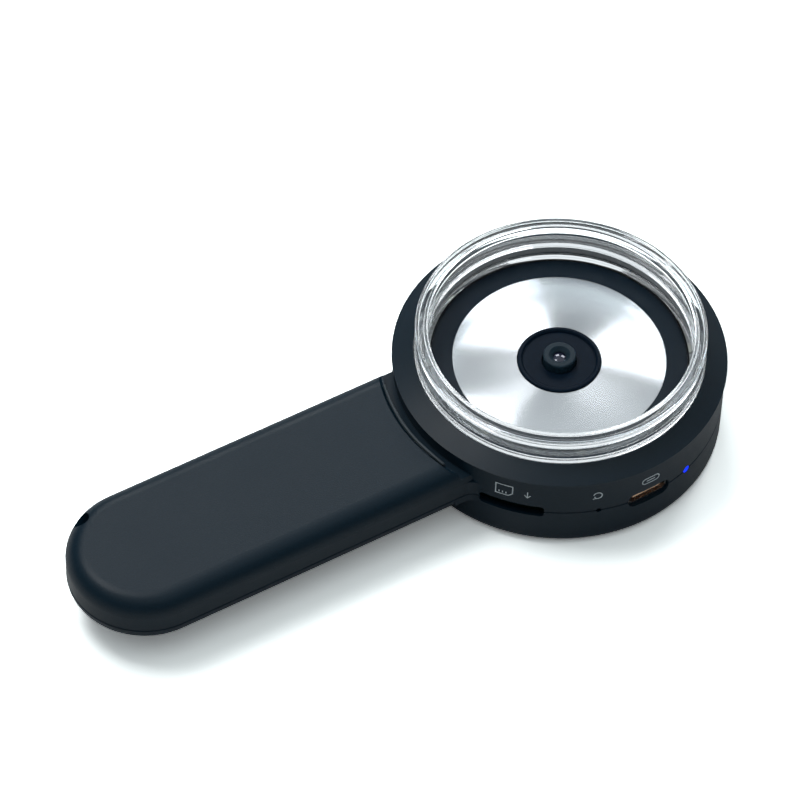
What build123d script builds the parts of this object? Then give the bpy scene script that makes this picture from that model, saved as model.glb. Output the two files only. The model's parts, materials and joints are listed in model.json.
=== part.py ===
from build123d import *
import math
import os

os.makedirs("parts", exist_ok=True)

# Frame: the optical axis is Z, the screen side rests on z = 0, the handle runs along -X.

# Driving dimensions of the shells
seam_z = 9.6
shell_wall = 1.9
handle_wall = 1.6
handle_width = 30.0
foot_fillet = 2.5
handle_edge_fillet = 3.9
handle_belly_fillet = 3.2
handle_lip = 0.35
seam_chamfer = 0.2
cut_over = 1.0

# Shared clearances
run_fit = 0.1
slip_fit = 0.15
port_gap = 0.18
seat_gap = 0.05
inner_gap = 0.4

# Display, which sets how wide the head is
panel_short = 34.5
panel_long = 46.5
panel_t = 2.2
view_side_border = 1.95
view_end_border = 2.85
panel_corner_gap = 1.35
view_short = panel_short - 2 * view_side_border
view_long = panel_long - 2 * view_end_border

# USB-C receptacle, a standard part
usb_w = 8.94
usb_h = 3.26
usb_l = 7.3
usb_wall = 0.3
usb_angle = -88.6
usb_recess = 1.0

# Where the other ports stand round the head
card_angle = -137.9
reset_angle = -107.6
light_angle = -71.6

# Focus drive
focus_half_turn = 45.0
lens_travel = 0.75
pin_r = 0.6
slot_gap = 0.12
skirt_t = 1.4
skirt_gap = 0.27
skirt_rim = 0.43
arm_gap = 0.2
arm_t = 1.2
led_board_t = 0.8
light_room = 1.25

# Bevelled ring that turns on the head
bore_depth = 2.9
bevel_rise = 1.78
bevel_w = 4.2
ring_overhang = 0.3
ring_lip_h = 0.37
ring_gap = 0.15
seat_ledge_w = 0.7

# Clear standoff ring
clear_wall = 2.5
clear_height = 9.1
clear_flange_h = 0.7
clear_waist = 0.25
clear_edge_fillet = 0.5
clear_foot_w = 0.95
clear_foot_h = 0.9

# Groove between the handle's top and the ring
groove_w = 2.1
groove_depth = 2.4
groove_floor_t = 1.8
ridge_fillet = 1.1
ridge_wall = 1.7
web_fillet = 3.0

# Radii of the head
head_in_r = math.hypot(panel_short, panel_long) / 2 + panel_corner_gap
head_r = head_in_r + shell_wall
ring_r = head_r + ring_overhang
bore_r = ring_r - bevel_w
clear_r = bore_r - run_fit
clear_in_r = clear_r - clear_wall
ledge_r = bore_r - seat_ledge_w
skirt_r = head_in_r - run_fit
skirt_in_r = skirt_r - skirt_t
groove_r = head_r + groove_w
neck_r = groove_r + ridge_wall

# Heights of the head, from the seam up
board_t = 1.2
board_top_z = seam_z - usb_h / 2
board_low_z = board_top_z - board_t
slot_half_h = pin_r + slot_gap
skirt_low_z = seam_z + usb_h / 2 + skirt_gap
pin_z = skirt_low_z + skirt_rim + slot_half_h + lens_travel
led_low_z = pin_z + lens_travel + pin_r + arm_gap
led_top_z = led_low_z + led_board_t
seat_z = led_top_z + light_room
ring_top_z = seat_z + bore_depth
ring_lip_z = ring_top_z - bevel_rise
ring_low_z = ring_lip_z - ring_lip_h
wall_top_z = ring_low_z - ring_gap

# Heights of the handle, from its underside up: keys, key board, battery, roof
belly_z = seam_z - handle_lip - handle_belly_fillet
belly_t = 1.5
floor_z = belly_z + belly_t
cap_gap = 0.1
cap_flange_t = 0.6
switch_gap = 0.5
switch_t = 1.2
key_board_t = 1.0
pad_t = 0.6
battery_t = 3.8
battery_gap = 0.15
cap_top_z = floor_z + cap_gap + cap_flange_t
switch_low_z = cap_top_z + switch_gap
key_board_z = switch_low_z + switch_t
pad_z = key_board_z + key_board_t
battery_z = pad_z + pad_t
ceiling_z = battery_z + battery_t + battery_gap
handle_top_z = ceiling_z + handle_wall
groove_floor_z = handle_top_z - groove_depth
neck_ceiling_z = groove_floor_z - groove_floor_t

# Keys on the handle, placed one after the other from the head outwards
key_lead_in = 1.2
key_margin = 5.5
bar_key_l = 5.0
bar_key_w = 10.0
round_key_r = 4.6
power_key_r = 3.0
key_space = 2.4
power_key_space = 4.5
key_board_end = 4.0
key_board_w = 18.0
handle_tip_room = 26.8
key_board_x = groove_r + key_lead_in
zoom_in_x = key_board_x + key_margin + bar_key_l / 2
shutter_x = zoom_in_x + bar_key_l / 2 + key_space + round_key_r
zoom_out_x = shutter_x + round_key_r + key_space + bar_key_l / 2
power_x = zoom_out_x + bar_key_l / 2 + power_key_space + power_key_r
key_board_far_x = power_x + power_key_r + key_board_end
handle_r = handle_width / 2
handle_reach = key_board_far_x + handle_tip_room - handle_r

# Screws, self-tapping, one size
screw_shank_r = 0.95
screw_head_r = 1.75
screw_head_t = 1.2
screw_bite = 3.2
pillar_r = 2.9
boss_r = 2.4
boss_gap = 0.3
tap_clear = 0.05
head_clear = 0.15
drive_r = 0.85
drive_depth = 0.6

# Screw places: in the head between the display and the wall, in the handle past the key board
case_screw_inset = 4.6
case_screw_gap = 1.4
case_screw_r = head_in_r - case_screw_inset
case_screw_x = panel_short / 2 + pillar_r + case_screw_gap
case_screw_turn = math.degrees(math.acos(case_screw_x / case_screw_r))
case_screw_angles = (case_screw_turn, 180 - case_screw_turn, -case_screw_turn)
handle_screw_inset = 4.9
handle_screw_x = key_board_far_x + handle_screw_inset
handle_screw_y = handle_r / 2

# Lanyard hole, slanting through the round corner of the handle's end
lanyard_r = 1.9
lanyard_wall = 1.5
lanyard_angle = 122.7
lanyard_tilt = 45.0


def polar(radius, angle):
    """Plan position at a radius and an angle from +X."""
    return (radius * math.cos(math.radians(angle)), radius * math.sin(math.radians(angle)))


def port_plane(angle, distance, height):
    """Plane that faces outwards from the head: x runs round the wall, y runs up."""
    x, y = polar(distance, angle)
    tangent = (-math.sin(math.radians(angle)), math.cos(math.radians(angle)), 0)
    outward = (math.cos(math.radians(angle)), math.sin(math.radians(angle)), 0)
    return Plane(origin=(x, y, height), x_dir=tangent, z_dir=outward)


def handle_plan(inset):
    """Sketch of the handle seen from above, drawn inwards by inset."""
    with Locations((-handle_reach / 2, 0)):
        Rectangle(handle_reach, 2 * (handle_r - inset))
    with Locations((-handle_reach, 0)):
        Circle(handle_r - inset)


def place_all(radius, angles):
    """Plan positions of a set of features on one circle."""
    return [polar(radius, angle) for angle in angles]


def save(piece, name):
    piece.part.label = name
    export_step(piece.part, "parts/" + name + ".step")


case_screw_places = place_all(case_screw_r, case_screw_angles)
handle_screw_places = [(-handle_screw_x, handle_screw_y), (-handle_screw_x, -handle_screw_y)]

# Card slot and socket
card_slot_w = 12.9
card_slot_h = 2.8
card_slot_fillet = 0.8
card_socket_w = 14.0
card_socket_h = 1.85
card_socket_l = 15.0
card_socket_back = 0.9
card_w = 11.2
card_tray_h = 0.5

# Reset pinhole and the light beside the port
pinhole_r = 0.55
guide_r = 0.8
guide_step_r = 1.1
reset_body_w = 4.4
reset_body_l = 4.0
reset_body_h = 2.8
reset_back = 2.7
reset_stem_r = 0.7
reset_stem_out = 1.0
reset_stem_in = 1.4
reset_travel = 0.3
guide_back = 4.6
status_led_side = 1.6
status_led_t = 0.6

# Card slot, with a pocket behind it that leaves a thin lip round its mouth
card_lip_t = 0.7
card_pocket_gap = 0.6
with BuildPart() as card_cutter:
    with BuildSketch(port_plane(card_angle, head_r, seam_z)):
        RectangleRounded(
            card_slot_w + 2 * card_pocket_gap, card_slot_h + 2 * card_pocket_gap, card_slot_fillet
        )
    extrude(amount=-(shell_wall + 3 * cut_over))
    with BuildSketch():
        Circle(head_r - card_lip_t)
    extrude(amount=head_r, mode=Mode.INTERSECT)
    with BuildSketch(port_plane(card_angle, head_r + cut_over, seam_z)):
        RectangleRounded(card_slot_w, card_slot_h, card_slot_fillet)
    extrude(amount=-(shell_wall + 3 * cut_over))

# The other openings in the wall at the seam: port, pinhole and light
with BuildPart() as port_cutter:
    with BuildSketch(port_plane(usb_angle, head_r + cut_over, seam_z)):
        RectangleRounded(usb_w + 2 * port_gap, usb_h + 2 * port_gap, usb_h / 2)
    extrude(amount=-(shell_wall + 2 * cut_over))
    with BuildSketch(port_plane(reset_angle, head_r + cut_over, seam_z)):
        Circle(pinhole_r)
    extrude(amount=-(shell_wall + 2 * cut_over))
    with BuildSketch(port_plane(light_angle, head_r + cut_over, seam_z)):
        Circle(guide_r + seat_gap)
    extrude(amount=-(shell_wall + 2 * cut_over))

# Lanyard tunnel: its mouth is where the rounded edge faces the hole's own direction
lanyard_mouth_r = handle_r - handle_edge_fillet * (1 - math.cos(math.radians(lanyard_tilt)))
lanyard_mouth_z = handle_top_z - handle_edge_fillet * (1 - math.sin(math.radians(lanyard_tilt)))
lanyard_mouth_x, lanyard_mouth_y = polar(lanyard_mouth_r, lanyard_angle)
lanyard_out = (
    math.cos(math.radians(lanyard_tilt)) * math.cos(math.radians(lanyard_angle)),
    math.cos(math.radians(lanyard_tilt)) * math.sin(math.radians(lanyard_angle)),
    math.sin(math.radians(lanyard_tilt)),
)
lanyard_plane = Plane(
    origin=(-handle_reach + lanyard_mouth_x, lanyard_mouth_y, lanyard_mouth_z), z_dir=lanyard_out
)
lanyard_reach = 2 * handle_r

with BuildPart() as lanyard_cutter:
    with BuildSketch(lanyard_plane):
        Circle(lanyard_r)
    extrude(amount=lanyard_reach, both=True)

with BuildPart() as lanyard_tube:
    with BuildSketch(lanyard_plane):
        Circle(lanyard_r + lanyard_wall)
    extrude(amount=lanyard_reach, both=True)

# Groove round the head, with a rounded upper edge where it meets the handle's top
with BuildPart() as groove_cutter:
    with BuildSketch(Plane.XZ):
        with BuildLine():
            Polyline(
                (groove_r, handle_top_z - ridge_fillet),
                (groove_r, groove_floor_z),
                (0, groove_floor_z),
                (0, handle_top_z + cut_over),
                (groove_r + ridge_fillet, handle_top_z + cut_over),
                (groove_r + ridge_fillet, handle_top_z),
            )
            RadiusArc(
                (groove_r + ridge_fillet, handle_top_z),
                (groove_r, handle_top_z - ridge_fillet),
                ridge_fillet,
            )
        make_face()
    revolve(axis=Axis.Z)

# Lens side shell, outside form
with BuildPart() as lens_side_form:
    with BuildSketch(Plane.XY.offset(seam_z)):
        handle_plan(0)
    extrude(amount=handle_top_z - seam_z)
    handle_edges = edges().group_by(Axis.Z)[-1].sort_by(Axis.X)[:-1]
    fillet(handle_edges, handle_edge_fillet)
    add(groove_cutter.part, mode=Mode.SUBTRACT)
    with BuildSketch(Plane.XY.offset(seam_z)) as web_sketch:
        Circle(head_r)
        handle_plan(0)
        web_corners = web_sketch.vertices().sort_by(Axis.X)[-3:]
        web_corners = [v for v in web_corners if abs(abs(v.Y) - handle_r) < cut_over]
        fillet(web_corners, web_fillet)
        with Locations((-handle_reach - handle_r, 0)):
            Rectangle(2 * (handle_reach + handle_r - neck_r), 2 * handle_width, mode=Mode.SUBTRACT)
    extrude(amount=handle_top_z - handle_edge_fillet - seam_z)
    with BuildSketch(Plane.XY.offset(seam_z)):
        Circle(head_r)
    extrude(amount=wall_top_z - seam_z)
    chamfer(faces().sort_by(Axis.Z)[0].outer_wire().edges(), seam_chamfer)

# Hollow of the handle's upper half
void_fillet = handle_edge_fillet - handle_wall
with BuildPart() as handle_void:
    with BuildSketch(Plane.XY.offset(seam_z - cut_over)):
        handle_plan(handle_wall)
    extrude(amount=ceiling_z - seam_z + cut_over)
    void_edges = edges().group_by(Axis.Z)[-1].sort_by(Axis.X)[:-1]
    fillet(void_edges, void_fillet)
    with BuildSketch(Plane.XY.offset(neck_ceiling_z)):
        Circle(neck_r)
    extrude(amount=handle_wall + handle_top_z, mode=Mode.SUBTRACT)

# Boss that takes a case screw, tied to the wall by a web that meets it beside the handle's neck
boss_top_z = skirt_low_z - boss_gap
neck_side_turn = math.degrees(math.asin((handle_r + boss_r) / head_in_r))
case_web_angles = (case_screw_turn, 180 - neck_side_turn, -case_screw_turn)
with BuildPart() as head_bosses:
    with BuildSketch(Plane.XY.offset(board_top_z)):
        with Locations(*case_screw_places):
            Circle(boss_r)
        for (screw_x, screw_y), angle in zip(case_screw_places, case_web_angles):
            web_x, web_y = polar(head_in_r + shell_wall / 2, angle)
            web_turn = math.degrees(math.atan2(web_y - screw_y, web_x - screw_x))
            with Locations(Location(((screw_x + web_x) / 2, (screw_y + web_y) / 2), web_turn)):
                Rectangle(math.hypot(web_x - screw_x, web_y - screw_y), 2 * boss_r)
    extrude(amount=boss_top_z - board_top_z)
    with BuildSketch(Plane.XY.offset(board_top_z)):
        Circle(2 * head_r)
        Circle(head_in_r - seat_gap, mode=Mode.SUBTRACT)
    extrude(amount=seam_z - board_top_z, mode=Mode.SUBTRACT)

with BuildPart() as handle_bosses:
    with BuildSketch(Plane.XY.offset(seam_z)):
        with Locations(*handle_screw_places):
            Circle(boss_r)
    extrude(amount=ceiling_z - seam_z + handle_wall / 2)

lanyard_tube_upper = lanyard_tube.part & lens_side_form.part
boss_cap_t = 0.4
pilot_top_z = boss_top_z - boss_cap_t
pilot_spare = 1.0

# Groove inside the wall where the snap ring runs
snap_t = 0.7
snap_play = 0.05
snap_top_gap = 0.5
snap_in = 0.6
snap_out = 0.6
snap_mouth = 40.0
snap_z = seat_z - seat_ledge_w - snap_top_gap - snap_t / 2

with BuildPart() as lens_side_shell:
    add(lens_side_form.part)
    with BuildSketch(Plane.XY.offset(seam_z)):
        Circle(head_in_r)
    extrude(amount=wall_top_z - seam_z, mode=Mode.SUBTRACT)
    add(handle_void.part, mode=Mode.SUBTRACT)
    with BuildSketch(Plane.XY.offset(snap_z - snap_t / 2 - snap_play)):
        Circle(skirt_r + snap_out + run_fit + snap_play)
    extrude(amount=snap_t + 2 * snap_play, mode=Mode.SUBTRACT)
    add(head_bosses.part)
    add(handle_bosses.part)
    add(lanyard_tube_upper)
    with BuildSketch(Plane.XY.offset(board_top_z)):
        with Locations(*case_screw_places):
            Circle(screw_shank_r + tap_clear)
    extrude(amount=pilot_top_z - board_top_z, mode=Mode.SUBTRACT)
    with BuildSketch(Plane.XY.offset(seam_z)):
        with Locations(*handle_screw_places):
            Circle(screw_shank_r + tap_clear)
    extrude(amount=screw_bite + pilot_spare, mode=Mode.SUBTRACT)
    add(card_cutter.part, mode=Mode.SUBTRACT)
    add(port_cutter.part, mode=Mode.SUBTRACT)
    add(lanyard_cutter.part, mode=Mode.SUBTRACT)
save(lens_side_shell, "lens_side_shell")

# Screen side shell: rim, window recess, ledge plate that carries the display
window_recess = 0.3
window_t = 1.0
tape_t = 0.2
ledge_t = 0.8
rim_flat = 1.95
view_margin = 0.7
ledge_z = window_recess + window_t + tape_t
panel_z = ledge_z + ledge_t
recess_r = head_r - foot_fillet - rim_flat
window_r = recess_r - slip_fit
post_r = 1.9
key_post_x = (key_board_x + key_board_end / 2, key_board_far_x - key_board_end / 2)
key_post_y = key_board_w / 2 - post_r
key_post_places = [(-key_post_x[0], key_post_y), (-key_post_x[1], -key_post_y)]

with BuildPart() as handle_low_form:
    with BuildSketch(Plane.XY.offset(belly_z)):
        handle_plan(0)
    extrude(amount=seam_z - belly_z)
    belly_edges = edges().group_by(Axis.Z)[0].sort_by(Axis.X)[:-1]
    fillet(belly_edges, handle_belly_fillet)

with BuildPart() as screen_side_form:
    with BuildSketch():
        Circle(head_r)
    extrude(amount=seam_z)
    with BuildSketch(Plane.XY.offset(belly_z + handle_belly_fillet / 2)) as low_web_sketch:
        Circle(head_r)
        handle_plan(0)
        low_corners = low_web_sketch.vertices().sort_by(Axis.X)[-3:]
        low_corners = [v for v in low_corners if abs(abs(v.Y) - handle_r) < cut_over]
        fillet(low_corners, web_fillet)
        with Locations((-handle_reach - handle_r, 0)):
            Rectangle(2 * (handle_reach + handle_r - head_r), 2 * handle_width, mode=Mode.SUBTRACT)
    extrude(amount=seam_z - belly_z - handle_belly_fillet / 2)
    add(handle_low_form.part)
    fillet(faces().sort_by(Axis.Z)[0].outer_wire().edges(), foot_fillet)
    chamfer(faces().sort_by(Axis.Z)[-1].outer_wire().edges(), seam_chamfer)

with BuildPart() as screen_side_void:
    with BuildSketch(Plane.XY.offset(panel_z)):
        Circle(head_in_r)
    extrude(amount=seam_z - panel_z)
    with BuildSketch(Plane.XY.offset(floor_z)):
        handle_plan(handle_wall)
    extrude(amount=seam_z - floor_z)

with BuildPart() as pillars:
    with BuildSketch(Plane.XY.offset(panel_z)):
        with Locations(*case_screw_places):
            Circle(pillar_r)
    extrude(amount=board_low_z - panel_z)
    with BuildSketch(Plane.XY.offset(floor_z)):
        with Locations(*handle_screw_places):
            Circle(pillar_r)
    extrude(amount=seam_z - floor_z)
    with BuildSketch(Plane.XY.offset(floor_z)):
        with Locations(*key_post_places):
            Circle(post_r)
    extrude(amount=key_board_z - floor_z)

lanyard_tube_lower = lanyard_tube.part & screen_side_form.part
key_hole_gap = slip_fit
screw_seat = ledge_z + screw_head_t + head_clear
handle_head_recess = 0.3
handle_screw_seat = belly_z + handle_head_recess + screw_head_t

with BuildPart() as screen_side_shell:
    add(screen_side_form.part)
    add(screen_side_void.part, mode=Mode.SUBTRACT)
    add(pillars.part)
    add(lanyard_tube_lower)
    with BuildSketch():
        Circle(recess_r)
    extrude(amount=ledge_z, mode=Mode.SUBTRACT)
    with BuildSketch():
        Rectangle(view_short + 2 * view_margin, view_long + 2 * view_margin)
    extrude(amount=panel_z, mode=Mode.SUBTRACT)
    with BuildSketch():
        with Locations(*case_screw_places):
            Circle(screw_head_r + head_clear)
    extrude(amount=screw_seat, mode=Mode.SUBTRACT)
    with BuildSketch(Plane.XY.offset(belly_z)):
        with Locations(*handle_screw_places):
            Circle(screw_head_r + head_clear)
    extrude(amount=handle_screw_seat - belly_z, mode=Mode.SUBTRACT)
    with BuildSketch():
        with Locations(*case_screw_places, *handle_screw_places):
            Circle(screw_shank_r + head_clear)
    extrude(amount=seam_z, mode=Mode.SUBTRACT)
    with BuildSketch(Plane.XY.offset(key_board_z)):
        with Locations(*key_post_places):
            Circle(post_r / 2)
    extrude(amount=-switch_t, mode=Mode.SUBTRACT)
    with BuildSketch(Plane.XY.offset(belly_z)):
        with Locations((-zoom_in_x, 0), (-zoom_out_x, 0)):
            RectangleRounded(bar_key_l + 2 * key_hole_gap, bar_key_w + 2 * key_hole_gap, bar_key_l / 2)
        with Locations((-shutter_x, 0)):
            Circle(round_key_r + key_hole_gap)
        with Locations((-power_x, 0)):
            Circle(power_key_r + key_hole_gap)
    extrude(amount=belly_t, mode=Mode.SUBTRACT)
    add(card_cutter.part, mode=Mode.SUBTRACT)
    add(port_cutter.part, mode=Mode.SUBTRACT)
    add(lanyard_cutter.part, mode=Mode.SUBTRACT)
save(screen_side_shell, "screen_side_shell")

# Case screws in the head, under the window, and handle screws, in view on the underside


def cross_drive():
    """Sketch of the cross in a screw's head."""
    Rectangle(2 * drive_r, drive_r / 2)
    Rectangle(drive_r / 2, 2 * drive_r)


case_head_z = screw_seat - screw_head_t
with BuildPart() as case_screws:
    with BuildSketch(Plane.XY.offset(case_head_z)):
        with Locations(*case_screw_places):
            Circle(screw_head_r)
    extrude(amount=screw_head_t)
    with BuildSketch(Plane.XY.offset(screw_seat)):
        with Locations(*case_screw_places):
            Circle(screw_shank_r)
    extrude(amount=pilot_top_z - slip_fit - screw_seat)
    with BuildSketch(Plane.XY.offset(case_head_z)):
        with Locations(*case_screw_places):
            cross_drive()
    extrude(amount=drive_depth, mode=Mode.SUBTRACT)
save(case_screws, "case_screws")

handle_head_z = handle_screw_seat - screw_head_t
with BuildPart() as handle_screws:
    with BuildSketch(Plane.XY.offset(handle_head_z)):
        with Locations(*handle_screw_places):
            Circle(screw_head_r)
    extrude(amount=screw_head_t)
    with BuildSketch(Plane.XY.offset(handle_screw_seat)):
        with Locations(*handle_screw_places):
            Circle(screw_shank_r)
    extrude(amount=seam_z + screw_bite - handle_screw_seat)
    with BuildSketch(Plane.XY.offset(handle_head_z)):
        with Locations(*handle_screw_places):
            cross_drive()
    extrude(amount=drive_depth, mode=Mode.SUBTRACT)
save(handle_screws, "handle_screws")

# Display: window, tape that masks it, panel, frame, ribbon and socket
with BuildPart() as display_window:
    with BuildSketch(Plane.XY.offset(window_recess)):
        Circle(window_r)
    extrude(amount=window_t)
save(display_window, "display_window")

tape_inset = 0.4
view_corner = 1.0
with BuildPart() as window_tape:
    with BuildSketch(Plane.XY.offset(window_recess + window_t)):
        Circle(window_r - tape_inset)
        RectangleRounded(view_short, view_long, view_corner, mode=Mode.SUBTRACT)
    extrude(amount=tape_t)
save(window_tape, "window_tape")

panel_fillet = 0.6
with BuildPart() as display_panel:
    with BuildSketch(Plane.XY.offset(panel_z)):
        RectangleRounded(panel_short, panel_long, panel_fillet)
    extrude(amount=panel_t)
save(display_panel, "display_panel")

frame_wall = 1.6
frame_gap = 0.1
frame_z = panel_z + panel_t
frame_top_z = board_low_z - frame_gap
with BuildPart() as display_frame:
    with BuildSketch(Plane.XY.offset(frame_z)):
        Rectangle(panel_short, panel_long)
        Rectangle(panel_short - 2 * frame_wall, panel_long - 2 * frame_wall, mode=Mode.SUBTRACT)
    extrude(amount=frame_top_z - frame_z)
save(display_frame, "display_frame")

ribbon_t = 0.12
ribbon_w = 12.0
ribbon_socket_l = 4.0
ribbon_socket_h = 1.1
ribbon_run = panel_short / 4
ribbon_bend = 0.5
ribbon_socket_z = board_low_z - ribbon_socket_h
ribbon_mid_z = ribbon_socket_z + ribbon_socket_h / 2
ribbon_low_z = frame_z + ribbon_t / 2
with BuildPart() as display_ribbon:
    with BuildLine(Plane.XZ):
        ribbon_path = FilletPolyline(
            (-1.5 * ribbon_run, ribbon_low_z),
            (-0.75 * ribbon_run, ribbon_low_z),
            (-0.5 * ribbon_run, ribbon_mid_z),
            (-seat_gap, ribbon_mid_z),
            radius=ribbon_bend,
        )
    with BuildSketch(Plane.YZ.offset(-1.5 * ribbon_run)):
        with Locations((0, ribbon_low_z)):
            Rectangle(ribbon_w, ribbon_t)
    sweep(path=ribbon_path)
save(display_ribbon, "display_ribbon")

with BuildPart() as ribbon_socket:
    with BuildSketch(Plane.XY.offset(ribbon_socket_z)):
        with Locations((ribbon_socket_l / 2, 0)):
            Rectangle(ribbon_socket_l, ribbon_w + 2 * ribbon_socket_h)
    extrude(amount=ribbon_socket_h)
save(ribbon_socket, "ribbon_socket")

# Main board, with the holes that its screws need
standoff_r = 13.0
standoff_angles = (60.0, 180.0, 300.0)
standoff_places = place_all(standoff_r, standoff_angles)
standoff_across = 3.2
small_screw_r = 0.8
small_head_r = 1.4
small_head_t = 0.7
board_r = head_in_r - inner_gap
with BuildPart() as main_board:
    with BuildSketch(Plane.XY.offset(board_low_z)):
        Circle(board_r)
        with Locations(*case_screw_places):
            Circle(screw_shank_r + head_clear, mode=Mode.SUBTRACT)
        with Locations(*standoff_places):
            Circle(small_screw_r + head_clear, mode=Mode.SUBTRACT)
    extrude(amount=board_t)
save(main_board, "main_board")

chip_side = 9.0
chip_t = 0.85
parts_r = 18.0
memory_angle = 120.0
coil_angle = 155.0
small_chip_angles = (70.0, -45.0)
with BuildPart() as image_processor:
    with BuildSketch(Plane.XY.offset(board_top_z)):
        with Locations((parts_r, 0)):
            RectangleRounded(chip_side, chip_side, chip_t / 4)
    extrude(amount=chip_t)
save(image_processor, "image_processor")

memory_l = 8.0
memory_w = 6.0
memory_t = 0.8
coil_side = 4.0
coil_t = 1.8
with BuildPart() as board_components:
    with BuildSketch(Plane.XY.offset(board_top_z)):
        with Locations(polar(parts_r, memory_angle)):
            Rectangle(memory_l, memory_w)
    extrude(amount=memory_t)
    with BuildSketch(Plane.XY.offset(board_top_z)):
        with Locations(polar(parts_r, coil_angle)):
            RectangleRounded(coil_side, coil_side, coil_side / 5)
    extrude(amount=coil_t)
    with BuildSketch(Plane.XY.offset(board_top_z)):
        with Locations(*place_all(parts_r, small_chip_angles)):
            Rectangle(coil_side, coil_side)
    extrude(amount=memory_t)
save(board_components, "board_components")

# Image sensor, its black housing with the guide tube, and the infrared filter
sensor_side = 6.0
sensor_t = 0.9
housing_side = 13.6
housing_h = 1.83
tube_r = 5.5
tube_in_r = 4.7
tube_h = 2.6
guide_key_w = 1.2
guide_key_out = 0.7
filter_r = 3.6
filter_t = 0.35
filter_seat_w = 0.6
sensor_fit = 0.15
sensor_housing_fillet = 1.0
housing_top_z = board_top_z + housing_h
tube_top_z = housing_top_z + tube_h
with BuildPart() as image_sensor:
    with BuildSketch(Plane.XY.offset(board_top_z)):
        Rectangle(sensor_side, sensor_side)
    extrude(amount=sensor_t)
save(image_sensor, "image_sensor")

filter_z = housing_top_z - filter_t
with BuildPart() as sensor_housing:
    with BuildSketch(Plane.XY.offset(board_top_z)):
        RectangleRounded(housing_side, housing_side, sensor_housing_fillet)
    extrude(amount=housing_h)
    with BuildSketch(Plane.XY.offset(housing_top_z)):
        Circle(tube_r)
        with Locations((0, tube_r)):
            Rectangle(guide_key_w, 2 * guide_key_out)
    extrude(amount=tube_h)
    with BuildSketch(Plane.XY.offset(housing_top_z)):
        Circle(tube_in_r)
    extrude(amount=tube_h, mode=Mode.SUBTRACT)
    with BuildSketch(Plane.XY.offset(filter_z)):
        Circle(filter_r + seat_gap)
    extrude(amount=filter_t, mode=Mode.SUBTRACT)
    with BuildSketch(Plane.XY.offset(board_top_z)):
        Rectangle(sensor_side + 2 * sensor_fit, sensor_side + 2 * sensor_fit)
    extrude(amount=sensor_t + sensor_fit, mode=Mode.SUBTRACT)
    with BuildSketch(Plane.XY.offset(board_top_z)):
        Circle(filter_r - filter_seat_w)
    extrude(amount=housing_h, mode=Mode.SUBTRACT)
save(sensor_housing, "sensor_housing")

with BuildPart() as infrared_filter:
    with BuildSketch(Plane.XY.offset(filter_z)):
        Circle(filter_r)
    extrude(amount=filter_t)
save(infrared_filter, "infrared_filter")

# Lens carrier: hub on the guide tube, three arms under the light board, pins into the ring's slots
hub_r = 6.8
hub_low_gap = 1.1
hub_web_gap = 0.25
barrel_thread_r = 4.0
arm_w = 5.0
arm_end_gap = 0.5
arm_angles = (0.0, 120.0, 240.0)
pin_bite = 1.6
hub_low_z = housing_top_z + hub_low_gap
hub_web_z = tube_top_z + lens_travel + hub_web_gap
hub_top_z = pin_z + arm_t
arm_r = skirt_in_r - arm_end_gap
with BuildPart() as lens_carrier:
    with BuildSketch(Plane.XY.offset(hub_low_z)):
        Circle(hub_r)
    extrude(amount=hub_top_z - hub_low_z)
    for angle in arm_angles:
        with BuildSketch(Plane.XY.offset(pin_z - arm_t / 2)):
            with Locations(Location(polar(arm_r / 2, angle), angle)):
                Rectangle(arm_r, arm_w)
        extrude(amount=arm_t)
        with BuildSketch(port_plane(angle, arm_r, pin_z)):
            RectangleRounded(arm_w * 3 / 5, 2 * pin_r + arm_t / 8, arm_t / 4)
        extrude(amount=-arm_w * 4 / 5)
    with BuildSketch(Plane.XY.offset(hub_low_z)):
        Circle(tube_r + run_fit)
        with Locations((0, tube_r)):
            Rectangle(guide_key_w + 2 * run_fit, 2 * (guide_key_out + run_fit))
    extrude(amount=hub_web_z - hub_low_z, mode=Mode.SUBTRACT)
    with BuildSketch(Plane.XY.offset(hub_low_z)):
        Circle(barrel_thread_r + seat_gap)
    extrude(amount=hub_top_z - hub_low_z, mode=Mode.SUBTRACT)
    for angle in arm_angles:
        with BuildSketch(port_plane(angle, arm_r, pin_z)):
            Circle(pin_r)
        extrude(amount=-pin_bite, mode=Mode.SUBTRACT)
save(lens_carrier, "lens_carrier")

pin_tip_gap = 0.2
with BuildPart() as follower_pins:
    for angle in arm_angles:
        with BuildSketch(port_plane(angle, arm_r - pin_bite, pin_z)):
            Circle(pin_r)
        extrude(amount=skirt_r - pin_tip_gap - arm_r + pin_bite)
save(follower_pins, "follower_pins")

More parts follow.
